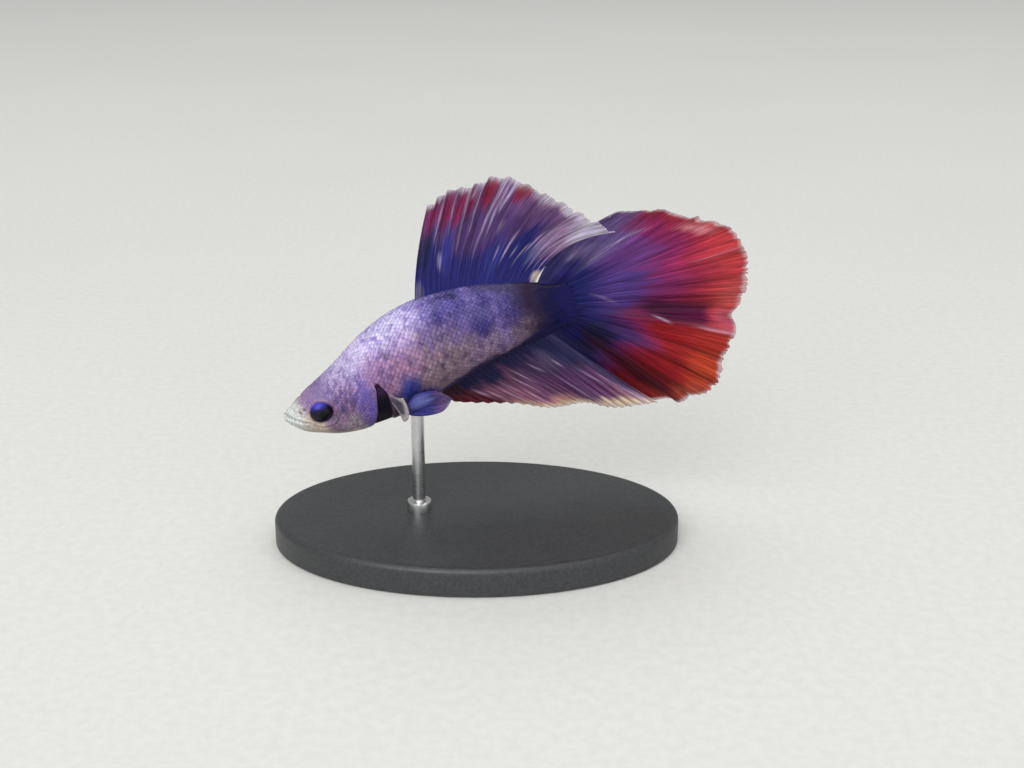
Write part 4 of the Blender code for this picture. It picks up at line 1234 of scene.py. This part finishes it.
def add_pelvic_fins():
    r = np.linspace(0, 1, 60)[None, :]
    across = np.linspace(-0.5, 0.5, 50)[:, None]
    leaf = PELVIC_AT_ROOT + PELVIC_SWELL * r * (1 - r) + (PELVIC_AT_TIP - PELVIC_AT_ROOT) * r
    leaf = leaf * np.sqrt(1 - 0.985 * np.clip((r - 0.8) / 0.2, 0, 1) ** 2)
    x = PELVIC_ROOT[0] + PELVIC_LENGTH * r + 0.02 * (1 - 4 * across**2) * r
    z = PELVIC_ROOT[1] - PELVIC_DROP * r + PELVIC_WIDTH * leaf * across
    z = z + PELVIC_UPPER * leaf * across.clip(0) * ease(r / 0.4)
    skin = half_width(x, np.maximum(z, belly(x) + PELVIC_OVER_KEEL)) - 0.004
    y = skin + (0.01 + PELVIC_OUT) * ease(r * 4) + 0.004 * np.sin(9 * across) * r
    add_pair("pelvic_fin", x, y, z, 5, pelvic_tint, ((0, 0), (0.7, 0.1), (1, 0.5)), 40)


def add_pectoral_fins():
    r = np.linspace(0, 1, 50)[None, :]
    across = np.linspace(-0.5, 0.5, 72)[:, None]
    spread = PECTORAL_SPREAD * (PECTORAL_AT_ROOT + (1 - PECTORAL_AT_ROOT) * r)
    angle = PECTORAL_SLOPE + spread * across
    reach = PECTORAL_LENGTH * r * (1 - PECTORAL_ROUNDING * across**2)
    x = PECTORAL_ROOT[0] + reach * np.cos(angle) * math.cos(PECTORAL_OUT)
    z = PECTORAL_ROOT[1] + PECTORAL_ROOT_HEIGHT * across + reach * np.sin(angle)
    skin = half_width(*PECTORAL_ROOT) - 0.002
    y = skin + reach * math.sin(PECTORAL_OUT) - PECTORAL_CURL * r**2 + 0.0012 * np.sin(30 * across) * r
    clear = ((0, 0.1), (0.3, 0.45), (0.65, 0.45), (0.92, 0.1), (1, 0.35))
    add_pair("pectoral_fin", x, y, z, 11, pectoral_tint, clear, 50)


# --- Eyes ---------------------------------------------------------------------------------------
def eye_material():
    """Black pupil, dark iris with a thin bright ring and a blue sheen over its upper part."""
    g = Graph("eye")
    away = g.field("away")
    fibres = g.noise(g.node("CombineXYZ", {0: g.times(g.field("turn"), 9.0), 1: g.times(away, 3.0)}), 1.0)
    iris = g.colour_mix(g.span(g.field("up"), 0.44, 1.0), IRIS_DARK, IRIS_BLUE)
    iris = g.colour_mix(g.spread(fibres, 0.0, 0.4), iris, IRIS_FIBRE)
    ring = g.times(g.span(away, 0.42, 0.46), g.span(away, 0.46, 0.51, 1.0, 0.0))
    iris = g.colour_mix(g.times(ring, 0.06), iris, IRIS_RING)
    return g.finish(
        Base_Color=g.colour_mix(g.span(away, 0.4, 0.44), PUPIL, iris), Roughness=0.35,
        Specular_IOR_Level=0.1, Coat_Weight=0.35, Coat_Roughness=0.04, Coat_IOR=1.33,
    )


def add_eyes():
    """Each eye is a flattened ball with a domed cornea, where the frame's own eye is."""
    material = eye_material()
    rows, columns = 44, 64
    polar = np.linspace(0.001, math.pi / 2 + 0.5, rows)[:, None]
    turn = np.linspace(0, math.tau, columns, endpoint=False)[None, :]
    dome = 1 + 0.05 * bell(np.sin(polar), 0.5) * (polar < math.pi / 2)
    round_x, round_z = np.sin(polar) * np.cos(turn), np.sin(polar) * np.sin(turn)
    away = np.sin(polar) + (polar > math.pi / 2) + 0 * turn
    fields = {"away": away, "up": round_z, "turn": np.cos(turn) + 0 * polar}
    for side, sign in SIDES.items():
        low, high = (np.array(corner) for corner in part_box(f"eye_{side}"))
        centre = (low + high) / 2 - sign * EYE_SUNK * LENGTH * TURN[:, 1]
        ball = np.stack([round_x, sign * np.cos(polar) * dome + 0 * turn, round_z], -1)
        points = centre + ball * EYEBALL * LENGTH @ TURN.T
        faces = grid_faces(rows, columns, closed=True)[:, ::-sign]
        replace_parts(make_piece(f"eyeball_{side}", points, faces, material, fields), f"eye_{side}")


# --- Stand, floor, light and camera -------------------------------------------------------------
def speckled(g, colour, where, grains, depth):
    """A colour that varies a little from grain to grain."""
    return g.scaled(colour, g.spread(g.noise(where, grains), 1 - depth, 1 + depth))


def base_material():
    """Charcoal powder coat: satin, with fine specks and a slight orange-peel surface."""
    g = Graph("stand_base_coat")
    where = g.node("TexCoord", output="Object")
    return g.finish(
        Base_Color=speckled(g, (0.03, 0.031, 0.034), where, 2600.0, 0.25),
        Roughness=g.spread(g.noise(where, 60.0, 4.0), 0.4, 0.54),
        Normal=g.bump(g.noise(where, 1400.0, 2.0), 0.00004, 0.6),
    )


def rod_material():
    """Brushed stainless steel: fine rings round the rod, slightly uneven in brightness."""
    g = Graph("stand_rod_steel")
    where = g.node("TexCoord", output="Object")
    rings = g.noise(g.node("Mapping", {"Vector": where, "Scale": (300, 300, 52000)}), 1.0, 2.0)
    clouds = g.noise(where, 220.0)
    return g.finish(
        Base_Color=speckled(g, (0.58, 0.58, 0.59), where, 900.0, 0.06), Metallic=1.0,
        Roughness=g.plus(g.spread(rings, 0.22, 0.3), g.spread(clouds, -0.04, 0.04)),
        Normal=g.bump(rings, 0.00001, 0.25),
    )


def turned(node, profile, middle, material, segments=72, narrower=0.0):
    """A turned piece that replaces a node, from (radius, height) pairs from its foot to its top.

    Across y its radius is less by narrower, for an oval.
    """
    around = np.linspace(0, math.tau, segments, endpoint=False)
    radius, height = np.array(profile).T[:, :, None]
    x, y = middle[0] + radius * np.cos(around), middle[1] + (radius - narrower) * np.sin(around)
    points = np.stack([x, y, height + 0 * x], -1).reshape(-1, 3)
    sides = [tuple(face) for face in grid_faces(len(profile), segments, closed=True)]
    ends = [tuple(range(segments))[::-1], tuple(range(len(points) - segments, len(points)))]
    piece = make_piece(material.name, points, sides + ends, material)
    piece.data.set_sharp_from_angle(angle=SHARP_FROM)
    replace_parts(piece, node)


def add_base():
    """An oval plate with a rounded top edge, the size of the frame's own base."""
    low, high = (np.array(corner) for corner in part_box("stand_base"))
    radius, depth = ((high - low) / 2)[:2]
    profile = [(radius - BASE_FOOT, low[2]), (radius, low[2] + BASE_FOOT)]
    for turn in np.linspace(0, math.pi / 2, 7):
        inset, drop = BASE_ROUND * (1 - math.cos(turn)), BASE_ROUND * (1 - math.sin(turn))
        profile.append((radius - inset, high[2] - drop))
    profile.append((radius - 1.5 * BASE_ROUND, high[2]))
    turned("stand_base", profile, (low + high) / 2, base_material(), 144, radius - depth)


def add_rod():
    """A rod that runs from the base into the belly, with a collar at its foot."""
    low, high = (np.array(corner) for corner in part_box("stand_rod"))
    radius, foot, top = (high[0] - low[0]) / 2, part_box("stand_base")[1][2], high[2] + ROD_INTO_BELLY
    collar, shoulder, bevel = 1.9 * radius, foot + COLLAR_HEIGHT, COLLAR_BEVEL
    profile = [
        (collar, foot - COLLAR_INTO_BASE), (collar, shoulder - bevel),
        (collar - 0.3 * bevel, shoulder - 0.3 * bevel), (collar - bevel, shoulder),
        (radius + bevel, shoulder), (radius, shoulder + bevel), (radius, top - bevel), (radius - bevel, top),
    ]
    turned("stand_rod", profile, (low + high) / 2, rod_material())


def add_stage():
    """A plain pale table under the stand, with a faint unevenness."""
    bpy.ops.mesh.primitive_plane_add(size=FLOOR_SIZE)
    floor = bpy.context.object
    floor.name = "floor"
    g = Graph("floor")
    where = g.node("TexCoord", output="Object")
    floor.data.materials.append(g.finish(
        Base_Color=speckled(g, (0.62, 0.62, 0.6), where, 700.0, 0.03),
        Roughness=g.spread(g.noise(where, 9.0, 4.0), 0.55, 0.7),
        Normal=g.bump(g.noise(where, 1100.0, 2.0), 0.00003, 0.5),
    ))


def add_light():
    """A soft pale room, with a large lamp in front and above, one overhead and a weak one aside."""
    world = bpy.data.worlds.new("studio")
    world.use_nodes = True
    inputs = world.node_tree.nodes["Background"].inputs
    inputs["Color"].default_value, inputs["Strength"].default_value = SKY
    bpy.context.scene.world = world
    for name, at, size, power in LAMPS:
        light = bpy.data.lights.new(name, "AREA")
        light.size, light.energy = size, power
        lamp = bpy.data.objects.new(name, light)
        lamp.location = at
        lamp.rotation_euler = (LIGHT_AIM - Vector(at)).to_track_quat("-Z", "Y").to_euler()
        bpy.context.scene.collection.objects.link(lamp)


def add_camera():
    """The photo's viewpoint: a camera in front of the fish's left side, looking down a little."""
    camera = bpy.data.cameras.new("camera")
    camera.lens, camera.sensor_width, camera.clip_start = CAMERA_LENS
    eye = bpy.data.objects.new("camera", camera)
    eye.location = Vector(CAMERA_PLACE) * MM
    eye.rotation_euler = (CAMERA_TILT, 0, 0)
    bpy.context.scene.collection.objects.link(eye)
    bpy.context.scene.camera = eye


def main():
    add_camera()
    plain, shaped = skin_surface()
    add_skin(plain, shaped)
    add_scales(plain, shaped)
    add_caudal_fin()
    add_dorsal_fin()
    add_anal_fin()
    add_pelvic_fins()
    add_pectoral_fins()
    add_eyes()
    add_base()
    add_rod()
    add_stage()
    add_light()
    bpy.context.scene.view_settings.view_transform = "Standard"


main()
